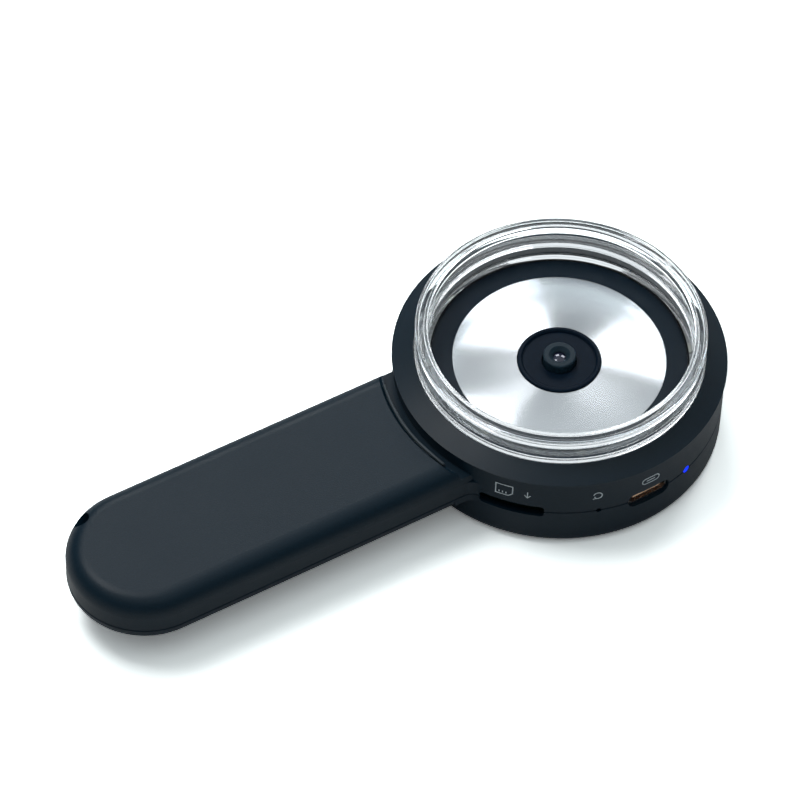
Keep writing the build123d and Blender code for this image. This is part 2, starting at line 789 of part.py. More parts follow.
# Lens barrel and its two lenses
barrel_r = 3.2
barrel_drop = 2.0
barrel_rise = 3.6
barrel_mouth_r = 2.1
barrel_mouth_depth = 0.7
barrel_bore_r = 1.6
barrel_edge_fillet = 0.35
lens_front_r = 1.25
lens_front_t = 1.0
lens_rear_r = 3.1
lens_rear_t = 1.5
lens_crown = 0.25
barrel_low_z = hub_web_z - barrel_drop
barrel_top_z = hub_top_z + barrel_rise
lens_rear_z = barrel_low_z + lens_crown
lens_front_top_z = barrel_top_z - barrel_mouth_depth
with BuildPart() as lens_barrel:
    with BuildSketch(Plane.XZ):
        with BuildLine():
            Polyline(
                (barrel_bore_r, lens_rear_z + lens_rear_t),
                (lens_rear_r + seat_gap, lens_rear_z + lens_rear_t),
                (lens_rear_r + seat_gap, barrel_low_z),
                (barrel_thread_r, barrel_low_z),
                (barrel_thread_r, hub_top_z),
                (barrel_r, hub_top_z),
                (barrel_r, barrel_top_z),
                (barrel_mouth_r, barrel_top_z),
                (lens_front_r + seat_gap, lens_front_top_z),
                (lens_front_r + seat_gap, lens_front_top_z - lens_front_t),
                (lens_front_r / 2, lens_front_top_z - lens_front_t),
                (barrel_bore_r, lens_front_top_z - 2 * lens_front_t),
                close=True,
            )
        make_face()
    revolve(axis=Axis.Z)
    top_rim = edges().group_by(Axis.Z)[-1].sort_by(SortBy.RADIUS)[-1]
    fillet(top_rim, barrel_edge_fillet)
save(lens_barrel, "lens_barrel")

front_crown_r = (lens_front_r**2 + lens_crown**2) / (2 * lens_crown)
with BuildPart() as front_lens:
    with BuildSketch(Plane.XY.offset(lens_front_top_z - lens_front_t)):
        Circle(lens_front_r)
    extrude(amount=lens_front_t)
    with Locations((0, 0, lens_front_top_z - front_crown_r)):
        Sphere(front_crown_r, mode=Mode.INTERSECT)
save(front_lens, "front_lens")

with BuildPart() as rear_lens:
    with BuildSketch(Plane.XY.offset(lens_rear_z)):
        Circle(lens_rear_r)
    extrude(amount=lens_rear_t)
save(rear_lens, "rear_lens")

# USB-C receptacle: steel shell and its tongue
usb_mouth_r = head_r - usb_recess
usb_fillet = usb_h / 2 - seat_gap
tongue_w = 6.69
tongue_t = 0.7
tongue_l = 4.4
with BuildPart() as usb_c_shell:
    with BuildSketch(port_plane(usb_angle, usb_mouth_r, seam_z)):
        RectangleRounded(usb_w, usb_h, usb_fillet)
    extrude(amount=-usb_l)
    with BuildSketch(port_plane(usb_angle, usb_mouth_r, seam_z)):
        RectangleRounded(usb_w - 2 * usb_wall, usb_h - 2 * usb_wall, usb_fillet - usb_wall)
    extrude(amount=-(usb_l - usb_wall), mode=Mode.SUBTRACT)
save(usb_c_shell, "usb_c_shell")

tongue_root_l = usb_l - usb_wall - tongue_l - usb_wall
with BuildPart() as usb_c_tongue:
    with BuildSketch(port_plane(usb_angle, usb_mouth_r - usb_l + usb_wall, seam_z)):
        RectangleRounded(usb_w - 2 * usb_wall, usb_h - 2 * usb_wall, usb_fillet - usb_wall)
    extrude(amount=tongue_root_l)
    with BuildSketch(port_plane(usb_angle, usb_mouth_r - usb_l + usb_wall + tongue_root_l, seam_z)):
        RectangleRounded(tongue_w, tongue_t, tongue_t / 3)
    extrude(amount=tongue_l)
save(usb_c_tongue, "usb_c_tongue")

# Card socket: moulded tray and a folded steel cover with the card's space between
card_mouth_r = math.sqrt(head_in_r**2 - (card_socket_w / 2) ** 2) - slip_fit
card_tray_z = board_top_z
with BuildPart() as card_socket_tray:
    with BuildSketch(port_plane(card_angle, card_mouth_r, card_tray_z + card_tray_h / 2)):
        Rectangle(card_w, card_tray_h)
    extrude(amount=-card_socket_l)
    with BuildSketch(port_plane(card_angle, card_mouth_r - card_socket_l, card_tray_z + card_socket_h / 2)):
        Rectangle(card_w, card_socket_h - 2 * usb_wall)
    extrude(amount=card_socket_back)
save(card_socket_tray, "card_socket_tray")

with BuildPart() as card_socket_cover:
    with BuildSketch(port_plane(card_angle, card_mouth_r, card_tray_z + card_socket_h / 2)):
        Rectangle(card_socket_w, card_socket_h)
    extrude(amount=-card_socket_l)
    with BuildSketch(port_plane(card_angle, card_mouth_r, card_tray_z + card_socket_h / 2 - usb_wall)):
        Rectangle(card_w + usb_wall, card_socket_h)
    extrude(amount=-card_socket_l, mode=Mode.SUBTRACT)
save(card_socket_cover, "card_socket_cover")

# Reset switch with its stem behind the pinhole
reset_front_r = head_in_r - reset_back
with BuildPart() as reset_switch:
    with BuildSketch(port_plane(reset_angle, reset_front_r, board_top_z + reset_body_h / 2)):
        Rectangle(reset_body_w, reset_body_h)
    extrude(amount=-reset_body_l)
    with BuildSketch(port_plane(reset_angle, reset_front_r, seam_z)):
        Circle(reset_stem_r + run_fit)
    extrude(amount=-(reset_stem_in + reset_travel + slip_fit), mode=Mode.SUBTRACT)
save(reset_switch, "reset_switch")

with BuildPart() as reset_plunger:
    with BuildSketch(port_plane(reset_angle, reset_front_r - reset_stem_in, seam_z)):
        Circle(reset_stem_r)
    extrude(amount=reset_stem_in + reset_stem_out)
save(reset_plunger, "reset_plunger")

# Status light on the board and the guide that brings it to the wall
guide_root_r = head_in_r - guide_back
with BuildPart() as status_led:
    with BuildSketch(Plane.XY.offset(board_top_z)):
        with Locations(Location(polar(guide_root_r + status_led_side / 2, light_angle), light_angle)):
            Rectangle(status_led_side, status_led_side)
    extrude(amount=status_led_t)
save(status_led, "status_led")

guide_foot_z = board_top_z + status_led_t + seat_gap
with BuildPart() as light_guide:
    with BuildSketch(port_plane(light_angle, guide_root_r, seam_z)):
        Circle(guide_r)
    extrude(amount=head_r - seat_gap - guide_root_r)
    with BuildSketch(Plane.XY.offset(guide_foot_z)):
        with Locations(Location(polar(guide_root_r + status_led_side / 2, light_angle), light_angle)):
            Rectangle(status_led_side, status_led_side)
    extrude(amount=seam_z - guide_foot_z)
    with BuildSketch(port_plane(light_angle, guide_root_r + status_led_side, seam_z)):
        Circle(guide_step_r)
    extrude(amount=guide_step_r)
save(light_guide, "light_guide")

# Light board on three standoffs, with white lights under the clear ring's foot
led_board_r = skirt_in_r - inner_gap
led_hole_r = hub_r + inner_gap
led_ring_r = (clear_in_r + ledge_r) / 2
light_count = 8
white_led_w = 2.0
white_led_l = 1.4
white_led_t = 0.6
link_l = 5.0
link_w = 2.5
link_r = 17.0
with BuildPart() as led_board:
    with BuildSketch(Plane.XY.offset(led_low_z)):
        Circle(led_board_r)
        Circle(led_hole_r, mode=Mode.SUBTRACT)
        with Locations(*standoff_places):
            Circle(small_screw_r + seat_gap, mode=Mode.SUBTRACT)
    extrude(amount=led_board_t)
    for place in standoff_places:
        with Locations((place[0], place[1], led_low_z + led_board_t / 2)):
            Cone(
                small_screw_r + seat_gap,
                small_head_r,
                led_board_t / 2,
                align=(Align.CENTER, Align.CENTER, Align.MIN),
                mode=Mode.SUBTRACT,
            )
save(led_board, "led_board")

with BuildPart() as led_board_standoffs:
    with BuildSketch(Plane.XY.offset(board_top_z)):
        with Locations(*standoff_places):
            RegularPolygon(standoff_across / 2, 6, major_radius=False)
            Circle(small_screw_r + seat_gap, mode=Mode.SUBTRACT)
    extrude(amount=led_low_z - board_top_z)
save(led_board_standoffs, "led_board_standoffs")

small_screw_gap = 0.5
small_screw_l = (led_low_z - board_top_z) / 2 - small_screw_gap
with BuildPart() as led_board_screws:
    for place in standoff_places:
        with Locations((place[0], place[1], led_top_z - led_board_t / 2)):
            Cone(
                small_screw_r,
                small_head_r - seat_gap,
                led_board_t / 2,
                align=(Align.CENTER, Align.CENTER, Align.MIN),
            )
    with BuildSketch(Plane.XY.offset(led_top_z - led_board_t / 2)):
        with Locations(*standoff_places):
            Circle(small_screw_r)
    extrude(amount=-small_screw_l)
save(led_board_screws, "led_board_screws")

with BuildPart() as standoff_screws:
    with BuildSketch(Plane.XY.offset(board_low_z)):
        with Locations(*standoff_places):
            Circle(small_head_r)
    extrude(amount=-small_head_t)
    with BuildSketch(Plane.XY.offset(board_low_z)):
        with Locations(*standoff_places):
            Circle(small_screw_r)
    extrude(amount=small_screw_l)
save(standoff_screws, "standoff_screws")

with BuildPart() as white_leds:
    with BuildSketch(Plane.XY.offset(led_top_z)):
        with PolarLocations(led_ring_r, light_count, start_angle=180 / light_count):
            Rectangle(white_led_l, white_led_w)
    extrude(amount=white_led_t)
save(white_leds, "white_leds")

with BuildPart() as board_link:
    with BuildSketch(Plane.XY.offset(board_top_z)):
        with Locations((0, link_r)):
            Rectangle(link_l, link_w)
    extrude(amount=led_low_z - board_top_z)
save(board_link, "board_link")

# Well ring, reflector and cowl, fixed on the light board
well_r = clear_in_r - slip_fit
well_w = 4.8
reflector_t = 0.5
reflector_rise = 0.5
reflector_drop = 0.05
reflector_hold = 1.1
well_in_r = well_r - well_w
reflector_r = well_in_r - seat_gap
cowl_r = 8.1
cowl_foot_w = 1.0
cowl_h = 1.15
cowl_wall = 1.0
cowl_floor_t = 0.6
cowl_bore_gap = 0.25
cowl_bore_r = barrel_r + cowl_bore_gap
cowl_rim_fillet = 0.35
reflector_in_r = cowl_r + slip_fit
reflector_top_z = seat_z - reflector_drop
reflector_low_z = reflector_top_z - reflector_t
well_edge_chamfer = 0.2
with BuildPart() as well_ring:
    with BuildSketch(Plane.XY.offset(led_top_z)):
        Circle(well_r)
        Circle(well_in_r - reflector_hold, mode=Mode.SUBTRACT)
    extrude(amount=seat_z - led_top_z)
    with BuildSketch(Plane.XY.offset(reflector_low_z - seat_gap)):
        Circle(well_in_r)
    extrude(amount=seat_z, mode=Mode.SUBTRACT)
    chamfer(edges().group_by(Axis.Z)[-1].sort_by(SortBy.RADIUS)[-1], well_edge_chamfer)
save(well_ring, "well_ring")

with BuildPart() as reflector:
    with BuildSketch(Plane.XZ):
        with BuildLine():
            Polyline(
                (reflector_in_r, reflector_top_z - reflector_rise),
                (reflector_r, reflector_top_z),
                (reflector_r, reflector_low_z),
                (reflector_r - reflector_hold, reflector_low_z),
                (reflector_in_r, reflector_low_z - reflector_rise),
                close=True,
            )
        make_face()
    revolve(axis=Axis.Z)
save(reflector, "reflector")

cowl_foot_z = reflector_low_z - reflector_rise - seat_gap
with BuildPart() as lens_cowl:
    with BuildSketch(Plane.XY.offset(led_top_z)):
        Circle(cowl_r)
    extrude(amount=cowl_h)
    fillet(edges().group_by(Axis.Z)[-1], cowl_rim_fillet)
    with BuildSketch(Plane.XY.offset(led_top_z)):
        Circle(cowl_r + cowl_foot_w)
    extrude(amount=cowl_foot_z - led_top_z)
    with BuildSketch(Plane.XY.offset(led_top_z + cowl_floor_t)):
        Circle(cowl_r - cowl_wall)
    extrude(amount=cowl_h, mode=Mode.SUBTRACT)
    inner_rim = edges().group_by(Axis.Z)[-1].sort_by(SortBy.RADIUS)[0]
    chamfer(inner_rim, cowl_rim_fillet)
    with BuildSketch(Plane.XY.offset(led_top_z)):
        Circle(cowl_bore_r)
    extrude(amount=cowl_h, mode=Mode.SUBTRACT)
save(lens_cowl, "lens_cowl")

# Focus ring: bevel, bore that holds the clear ring, skirt with three sloping slots
ring_edge_chamfer = 0.15
focus_rad = math.radians(focus_half_turn)
cam_pitch = 2 * math.pi * lens_travel / focus_rad
slot_end_angle = focus_half_turn + math.degrees(slot_half_h / skirt_r)
slot_rise = cam_pitch * slot_end_angle / 180
cam_r = (skirt_r + skirt_in_r) / 2
cam_turn = Rotation(0, 0, slot_end_angle)
with BuildPart() as cam_cutter:
    with BuildLine() as cam_line:
        Helix(
            pitch=cam_pitch,
            height=slot_rise,
            radius=cam_r,
            center=(0, 0, pin_z - slot_rise / 2),
            lefthand=True,
        )
    cam_plane = Plane(origin=cam_line.line @ 0, x_dir=(1, 0, 0), z_dir=cam_line.line % 0)
    with BuildSketch(cam_plane):
        Rectangle(2 * skirt_t, 2 * slot_half_h)
    sweep(path=cam_line.line, is_frenet=True)
cam_solid = cam_turn * cam_cutter.part

with BuildPart() as focus_ring:
    with BuildSketch(Plane.XZ):
        with BuildLine():
            Polyline(
                (skirt_r, ring_low_z),
                (skirt_r, skirt_low_z),
                (skirt_in_r, skirt_low_z),
                (skirt_in_r, seat_z - seat_ledge_w),
                (ledge_r, seat_z - seat_ledge_w),
                (ledge_r, seat_z),
                (bore_r, seat_z),
                (bore_r, ring_top_z),
                (ring_r, ring_lip_z),
                (ring_r, ring_low_z),
                close=True,
            )
        make_face()
    revolve(axis=Axis.Z)
    chamfer(edges().group_by(Axis.Z)[-1], ring_edge_chamfer)
    with BuildSketch(Plane.XY.offset(snap_z - snap_t / 2 - snap_play)):
        Circle(skirt_r + cut_over)
        Circle(skirt_r - snap_in - snap_play, mode=Mode.SUBTRACT)
    extrude(amount=snap_t + 2 * snap_play, mode=Mode.SUBTRACT)
    for angle in arm_angles:
        add(Rotation(0, 0, angle) * cam_solid, mode=Mode.SUBTRACT)
save(focus_ring, "focus_ring")

with BuildPart() as focus_snap_ring:
    with BuildSketch(Plane.XY.offset(snap_z - snap_t / 2)):
        Circle(skirt_r + snap_out)
        Circle(skirt_r - snap_in, mode=Mode.SUBTRACT)
        with Locations((0, skirt_r)):
            Rectangle(2 * skirt_r * math.sin(math.radians(snap_mouth / 2)), skirt_r, mode=Mode.SUBTRACT)
    extrude(amount=snap_t)
save(focus_snap_ring, "focus_snap_ring")

# Clear ring: foot in the focus ring's bore, flange, waist and rounded rim
clear_top_z = seat_z + clear_height
clear_flange_z = ring_top_z + clear_flange_h
clear_bead_z = clear_top_z - 2 * clear_edge_fillet
clear_foot_z = seat_z + run_fit
with BuildPart() as clear_ring:
    with BuildSketch(Plane.XZ):
        with BuildLine():
            Polyline(
                (clear_in_r, seat_z),
                (clear_r, seat_z),
                (clear_r, clear_flange_z),
                (clear_r - clear_waist, clear_flange_z + clear_waist),
                (clear_r - clear_waist, clear_bead_z - clear_waist),
                (clear_r, clear_bead_z),
                (clear_r, clear_top_z),
                (clear_in_r, clear_top_z),
                (clear_in_r, clear_foot_z + clear_foot_h),
                (clear_in_r - clear_foot_w, clear_foot_z + clear_foot_h),
                (clear_in_r - clear_foot_w, clear_foot_z),
                (clear_in_r, clear_foot_z),
                close=True,
            )
        make_face()
    revolve(axis=Axis.Z)
    fillet(edges().group_by(Axis.Z)[-1], clear_edge_fillet)
save(clear_ring, "clear_ring")

# Keys: each cap has a flange inside the shell and a stem into its switch
cap_out = 0.7
cap_flange_w = 0.6
stem_r = 0.8
stem_into = 0.25
key_travel = 0.4
cap_edge_fillet = 0.4
cap_low_z = belly_z - cap_out
switch_side = 4.5
key_names = ("zoom_in_button", "shutter_button", "zoom_out_button", "power_button")
key_places = (-zoom_in_x, -shutter_x, -zoom_out_x, -power_x)
key_radii = (0, round_key_r, 0, power_key_r)
for key_name, key_x, key_r in zip(key_names, key_places, key_radii):
    with BuildPart() as key_cap:
        with BuildSketch(Plane.XY.offset(cap_low_z)):
            with Locations((key_x, 0)):
                if key_r:
                    Circle(key_r)
                else:
                    RectangleRounded(bar_key_l, bar_key_w, bar_key_l / 2 - seat_gap)
        extrude(amount=cap_top_z - cap_low_z)
        fillet(edges().group_by(Axis.Z)[0], cap_edge_fillet)
        with BuildSketch(Plane.XY.offset(floor_z + cap_gap)):
            with Locations((key_x, 0)):
                if key_r:
                    Circle(key_r + cap_flange_w)
                else:
                    RectangleRounded(bar_key_l + 2 * cap_flange_w, bar_key_w + 2 * cap_flange_w, bar_key_l / 2)
        extrude(amount=cap_flange_t)
        with BuildSketch(Plane.XY.offset(cap_top_z)):
            with Locations((key_x, 0)):
                Circle(stem_r)
        extrude(amount=switch_gap + stem_into)
    save(key_cap, key_name)

key_centres = [(x, 0) for x in key_places]
with BuildPart() as key_switches:
    with BuildSketch(Plane.XY.offset(switch_low_z)):
        with Locations(*key_centres):
            Rectangle(switch_side, switch_side)
    extrude(amount=switch_t)
    with BuildSketch(Plane.XY.offset(switch_low_z)):
        with Locations(*key_centres):
            Circle(stem_r + 2 * run_fit)
    extrude(amount=stem_into + key_travel + slip_fit, mode=Mode.SUBTRACT)
save(key_switches, "key_switches")

key_board_l = key_board_far_x - key_board_x
key_board_mid_x = -(key_board_far_x + key_board_x) / 2
key_board_fillet = 1.0
with BuildPart() as key_board:
    with BuildSketch(Plane.XY.offset(key_board_z)):
        with Locations((key_board_mid_x, 0)):
            RectangleRounded(key_board_l, key_board_w, key_board_fillet)
        with Locations(*key_post_places):
            Circle(small_screw_r + head_clear, mode=Mode.SUBTRACT)
    extrude(amount=key_board_t)
save(key_board, "key_board")

key_head_t = 0.5
with BuildPart() as key_board_screws:
    with BuildSketch(Plane.XY.offset(pad_z)):
        with Locations(*key_post_places):
            Circle(small_head_r)
    extrude(amount=key_head_t)
    with BuildSketch(Plane.XY.offset(pad_z)):
        with Locations(*key_post_places):
            Circle(small_screw_r)
    extrude(amount=-(key_board_t + switch_t - slip_fit))
save(key_board_screws, "key_board_screws")

# Battery on its pad, leads, plug and socket
battery_l = 35.0
battery_w = 20.0
battery_fillet = 1.4
battery_mid_x = key_board_mid_x
with BuildPart() as battery:
    with BuildSketch(Plane.XY.offset(battery_z)):
        with Locations((battery_mid_x, 0)):
            RectangleRounded(battery_l, battery_w, battery_fillet)
    extrude(amount=battery_t)
    fillet(edges().filter_by(Plane.XY).group_by(Axis.Z)[0], battery_fillet / 2)
    fillet(edges().filter_by(Plane.XY).group_by(Axis.Z)[-1], battery_fillet / 2)
save(battery, "battery")

pad_inset = 1.4
pad_w = 2 * (key_post_y - small_head_r - inner_gap)
with BuildPart() as battery_pad:
    with BuildSketch(Plane.XY.offset(pad_z)):
        with Locations((battery_mid_x, 0)):
            Rectangle(battery_l - 2 * pad_inset, pad_w)
    extrude(amount=pad_t)
save(battery_pad, "battery_pad")

socket_l = 4.0
socket_w = 5.0
socket_h = 2.2
plug_l = 2.4
plug_w = 3.8
plug_h = 1.3
lead_r = 0.5
lead_y = 0.9
lead_run_in = 0.5
socket_far_r = board_r - seat_gap
socket_mid_z = board_top_z + socket_h / 2
with BuildPart() as battery_socket:
    with BuildSketch(Plane.XY.offset(board_top_z)):
        with Locations((-socket_far_r + socket_l / 2, 0)):
            Rectangle(socket_l, socket_w)
    extrude(amount=socket_h)
    with BuildSketch(Plane.YZ.offset(-socket_far_r)):
        with Locations((0, socket_mid_z)):
            Rectangle(plug_w + 2 * seat_gap, plug_h + 2 * seat_gap)
    extrude(amount=plug_l / 2 + seat_gap, mode=Mode.SUBTRACT)
save(battery_socket, "battery_socket")

plug_far_r = socket_far_r + plug_l / 2
with BuildPart() as battery_plug:
    with BuildSketch(Plane.YZ.offset(-plug_far_r)):
        with Locations((0, socket_mid_z)):
            Rectangle(plug_w, plug_h)
    extrude(amount=plug_l)
save(battery_plug, "battery_plug")

lead_start_x = battery_mid_x + battery_l / 2
lead_start_z = neck_ceiling_z - lead_r - slip_fit
lead_drop_x = -key_board_x + slip_fit
lead_foot_x = -plug_far_r - lead_run_in
with BuildPart() as battery_leads:
    for side in (-1, 1):
        with BuildLine(Plane.XZ.offset(-side * lead_y)):
            lead_path = FilletPolyline(
                (lead_start_x, lead_start_z),
                (lead_drop_x, lead_start_z),
                (lead_foot_x, socket_mid_z),
                (-plug_far_r, socket_mid_z),
                radius=lead_r,
            )
        with BuildSketch(Plane.YZ.offset(lead_start_x)):
            with Locations((side * lead_y, lead_start_z)):
                Circle(lead_r)
        sweep(path=lead_path)
save(battery_leads, "battery_leads")

# Flat cable from the key board to its socket on the main board
key_cable_w = 4.0
key_cable_space = 1.0
key_socket_l = 2.6
key_socket_h = 1.0
key_cable_bend = 0.8
key_cable_y = -(socket_w / 2 + key_cable_space + key_cable_w / 2)
key_socket_inset = 1.0
key_socket_x = -math.sqrt(board_r**2 - key_cable_y**2) + key_socket_inset
key_cable_z = pad_z + ribbon_t / 2
key_socket_mid_z = board_top_z + key_socket_h / 2
key_cable_start = -key_board_x - key_board_end / 2
key_cable_span = key_socket_x - key_cable_start
with BuildPart() as key_ribbon_socket:
    with BuildSketch(Plane.XY.offset(board_top_z)):
        with Locations((key_socket_x + key_socket_l / 2, key_cable_y)):
            Rectangle(key_socket_l, key_cable_w + key_socket_h)
    extrude(amount=key_socket_h)
save(key_ribbon_socket, "key_ribbon_socket")

with BuildPart() as key_ribbon:
    with BuildLine(Plane.XZ.offset(-key_cable_y)):
        key_cable_path = FilletPolyline(
            (key_cable_start, key_cable_z),
            (key_cable_start + key_cable_span / 3, key_cable_z),
            (key_cable_start + 2 * key_cable_span / 3, key_socket_mid_z),
            (key_socket_x, key_socket_mid_z),
            radius=key_cable_bend,
        )
    with BuildSketch(Plane.YZ.offset(key_cable_start)):
        with Locations((key_cable_y, key_cable_z)):
            Rectangle(key_cable_w, ribbon_t)
    sweep(path=key_cable_path)
save(key_ribbon, "key_ribbon")

print("head radius", round(head_r, 3), "ring radius", round(ring_r, 3), "handle reach", round(handle_reach, 3))
print("wall top", round(wall_top_z, 3), "ring top", round(ring_top_z, 3), "clear top", round(clear_top_z, 3))
print("handle top", round(handle_top_z, 3), "belly", round(belly_z, 3), "pin z", round(pin_z, 3))
print("barrel top", round(barrel_top_z, 3), "lead end", round(-handle_reach - handle_r, 3))
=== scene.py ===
import json
import math

import bmesh
import bpy
from mathutils import Matrix, Vector


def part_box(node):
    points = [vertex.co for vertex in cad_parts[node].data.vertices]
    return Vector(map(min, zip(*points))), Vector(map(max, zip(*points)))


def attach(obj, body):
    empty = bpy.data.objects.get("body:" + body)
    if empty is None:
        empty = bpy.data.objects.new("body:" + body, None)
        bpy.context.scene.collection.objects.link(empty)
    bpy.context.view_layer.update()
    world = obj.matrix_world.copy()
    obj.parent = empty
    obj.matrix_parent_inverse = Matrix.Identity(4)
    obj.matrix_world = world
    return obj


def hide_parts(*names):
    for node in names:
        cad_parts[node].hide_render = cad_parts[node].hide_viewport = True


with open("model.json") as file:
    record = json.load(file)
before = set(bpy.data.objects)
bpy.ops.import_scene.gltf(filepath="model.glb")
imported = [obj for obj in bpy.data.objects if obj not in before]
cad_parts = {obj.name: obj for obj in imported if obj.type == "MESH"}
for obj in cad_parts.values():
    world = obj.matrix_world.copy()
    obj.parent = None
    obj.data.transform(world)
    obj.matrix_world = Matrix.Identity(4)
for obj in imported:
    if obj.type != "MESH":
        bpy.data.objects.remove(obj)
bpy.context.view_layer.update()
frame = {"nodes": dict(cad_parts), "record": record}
nodes = frame["nodes"]

MM = 0.001

# Sizes read from the frame
WALL_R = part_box("screen_side_shell")[1][0]
CLEAR_LOW, CLEAR_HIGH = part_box("clear_ring")

# Where the ports and their signs stand on the head's wall, the angles in degrees from +X
USB_ANGLE = -88.6
RESET_ANGLE = -108.3
CARD_MARK_ANGLE = -140.5
CARD_ARROW_ANGLE = -132.3
SEAM_LEVEL = 9.6 * MM
MARK_Z = 14.2 * MM
MARK_LINE = 0.22 * MM
MARK_T = 0.03 * MM
MARK_STEP = 0.5 * MM
port_turn = math.radians(USB_ANGLE)
port_out = Vector((math.cos(port_turn), math.sin(port_turn), 0.0))
port_side = Vector((-port_out.y, port_out.x, 0.0))


# Materials

# The part of its range that a noise mostly fills
NOISE_LOW = 0.3
NOISE_HIGH = 0.7

# Spark-eroded grain and cloudy gloss of moulded plastic
GRAIN_STRENGTH = 0.5
GRAIN_DETAIL = 4.0
GRAIN_TINT = 0.12
CLOUD_SCALE = 60.0
CLOUD_DETAIL = 2.0
CLOUD_GLOSS = 0.04

# Drawn lines of satin metal
LINE_STRENGTH = 0.25
LINE_DEPTH = 0.01 * MM
LINE_SHINE = 0.06
LINE_DULL = 0.08
LINE_TINT = 0.06

# Waviness of clear plastic and glass
WAVE_STRENGTH = 0.02
WAVE_DEPTH = 0.002 * MM


def link(tree, source, target):
    """Joins an output socket to an input socket."""
    tree.links.new(source, target)


def new_finish(name, colour, roughness, metallic=0.0, specular=0.5):
    """A material with its plain values set; returns the material, its tree and its shader."""
    material = bpy.data.materials.new(name)
    material.use_nodes = True
    tree = material.node_tree
    shader = tree.nodes["Principled BSDF"]
    shader.inputs["Base Color"].default_value = (*colour, 1.0)
    shader.inputs["Roughness"].default_value = roughness
    shader.inputs["Metallic"].default_value = metallic
    shader.inputs["Specular IOR Level"].default_value = specular
    return material, tree, shader


def object_noise(tree, scale, detail=3.0, stretch=(1.0, 1.0, 1.0)):
    """A noise on the piece's own coordinates, with features 1/scale metres wide."""
    coordinates = tree.nodes.new("ShaderNodeTexCoord")
    mapping = tree.nodes.new("ShaderNodeMapping")
    mapping.inputs["Scale"].default_value = stretch
    noise = tree.nodes.new("ShaderNodeTexNoise")
    noise.inputs["Scale"].default_value = scale
    noise.inputs["Detail"].default_value = detail
    link(tree, coordinates.outputs["Object"], mapping.inputs["Vector"])
    link(tree, mapping.outputs["Vector"], noise.inputs["Vector"])
    return noise.outputs["Fac"]


def spread(tree, value, low, high):
    """Turns a noise value into one between low and high."""
    ranger = tree.nodes.new("ShaderNodeMapRange")
    ranger.inputs["From Min"].default_value = NOISE_LOW
    ranger.inputs["From Max"].default_value = NOISE_HIGH
    ranger.inputs["To Min"].default_value = low
    ranger.inputs["To Max"].default_value = high
    link(tree, value, ranger.inputs["Value"])
    return ranger.outputs["Result"]


def add_bump(tree, shader, value, strength, height):
    """Lets a value raise the surface by up to height."""
    bump = tree.nodes.new("ShaderNodeBump")
    bump.inputs["Strength"].default_value = strength
    bump.inputs["Distance"].default_value = height
    link(tree, value, bump.inputs["Height"])
    link(tree, bump.outputs["Normal"], shader.inputs["Normal"])


def add_tint(tree, shader, value, colour, amount):
    """Varies the colour a little, lighter and darker, with a noise value."""
    ramp = tree.nodes.new("ShaderNodeValToRGB")
    dark = [channel * (1.0 - amount) for channel in colour]
    light = [min(1.0, channel * (1.0 + amount)) for channel in colour]
    ramp.color_ramp.elements[0].position = NOISE_LOW
    ramp.color_ramp.elements[0].color = (*dark, 1.0)
    ramp.color_ramp.elements[1].position = NOISE_HIGH
    ramp.color_ramp.elements[1].color = (*light, 1.0)
    link(tree, value, ramp.inputs["Fac"])
    link(tree, ramp.outputs["Color"], shader.inputs["Base Color"])


def moulded(name, colour, roughness, grain, depth, specular=0.5):
    """Moulded plastic with a spark-eroded grain and faint cloudiness in its gloss."""
    material, tree, shader = new_finish(name, colour, roughness, 0.0, specular)
    fine = object_noise(tree, grain, GRAIN_DETAIL)
    cloud = object_noise(tree, CLOUD_SCALE, CLOUD_DETAIL)
    add_bump(tree, shader, fine, GRAIN_STRENGTH, depth)
    gloss = spread(tree, cloud, roughness - CLOUD_GLOSS, roughness + CLOUD_GLOSS)
    link(tree, gloss, shader.inputs["Roughness"])
    add_tint(tree, shader, fine, colour, GRAIN_TINT)
    return material


def metal(name, colour, roughness, stretch=(1.0, 1.0, 1.0), scale=1500.0):
    """Satin metal with fine drawn lines along the unstretched direction."""
    material, tree, shader = new_finish(name, colour, roughness, 1.0)
    lines = object_noise(tree, scale, stretch=stretch)
    add_bump(tree, shader, lines, LINE_STRENGTH, LINE_DEPTH)
    gloss = spread(tree, lines, roughness - LINE_SHINE, roughness + LINE_DULL)
    link(tree, gloss, shader.inputs["Roughness"])
    add_tint(tree, shader, lines, colour, LINE_TINT)
    return material


def clear_finish(name, colour, roughness, ior, wave_scale):
    """Clear acrylic or glass, with a trace of waviness from polishing."""
    material, tree, shader = new_finish(name, colour, roughness)
    shader.inputs["Transmission Weight"].default_value = 1.0
    shader.inputs["IOR"].default_value = ior
    waves = object_noise(tree, wave_scale, detail=1.0)
    add_bump(tree, shader, waves, WAVE_STRENGTH, WAVE_DEPTH)
    return material


# Silver face: its turned rings, and how its shading falls away from the middle like a low dome
SILVER_COLOUR = (0.77, 0.82, 0.86)
SILVER_SHINE = 0.22
SILVER_DULL = 0.26
SILVER_CLOUD = 90.0
SILVER_RINGS = 0.93
SILVER_RING_TURN = 0.25
SILVER_DOME = 5500.0
SILVER_DOME_POWER = 4.0
SILVER_CONE = 0.09


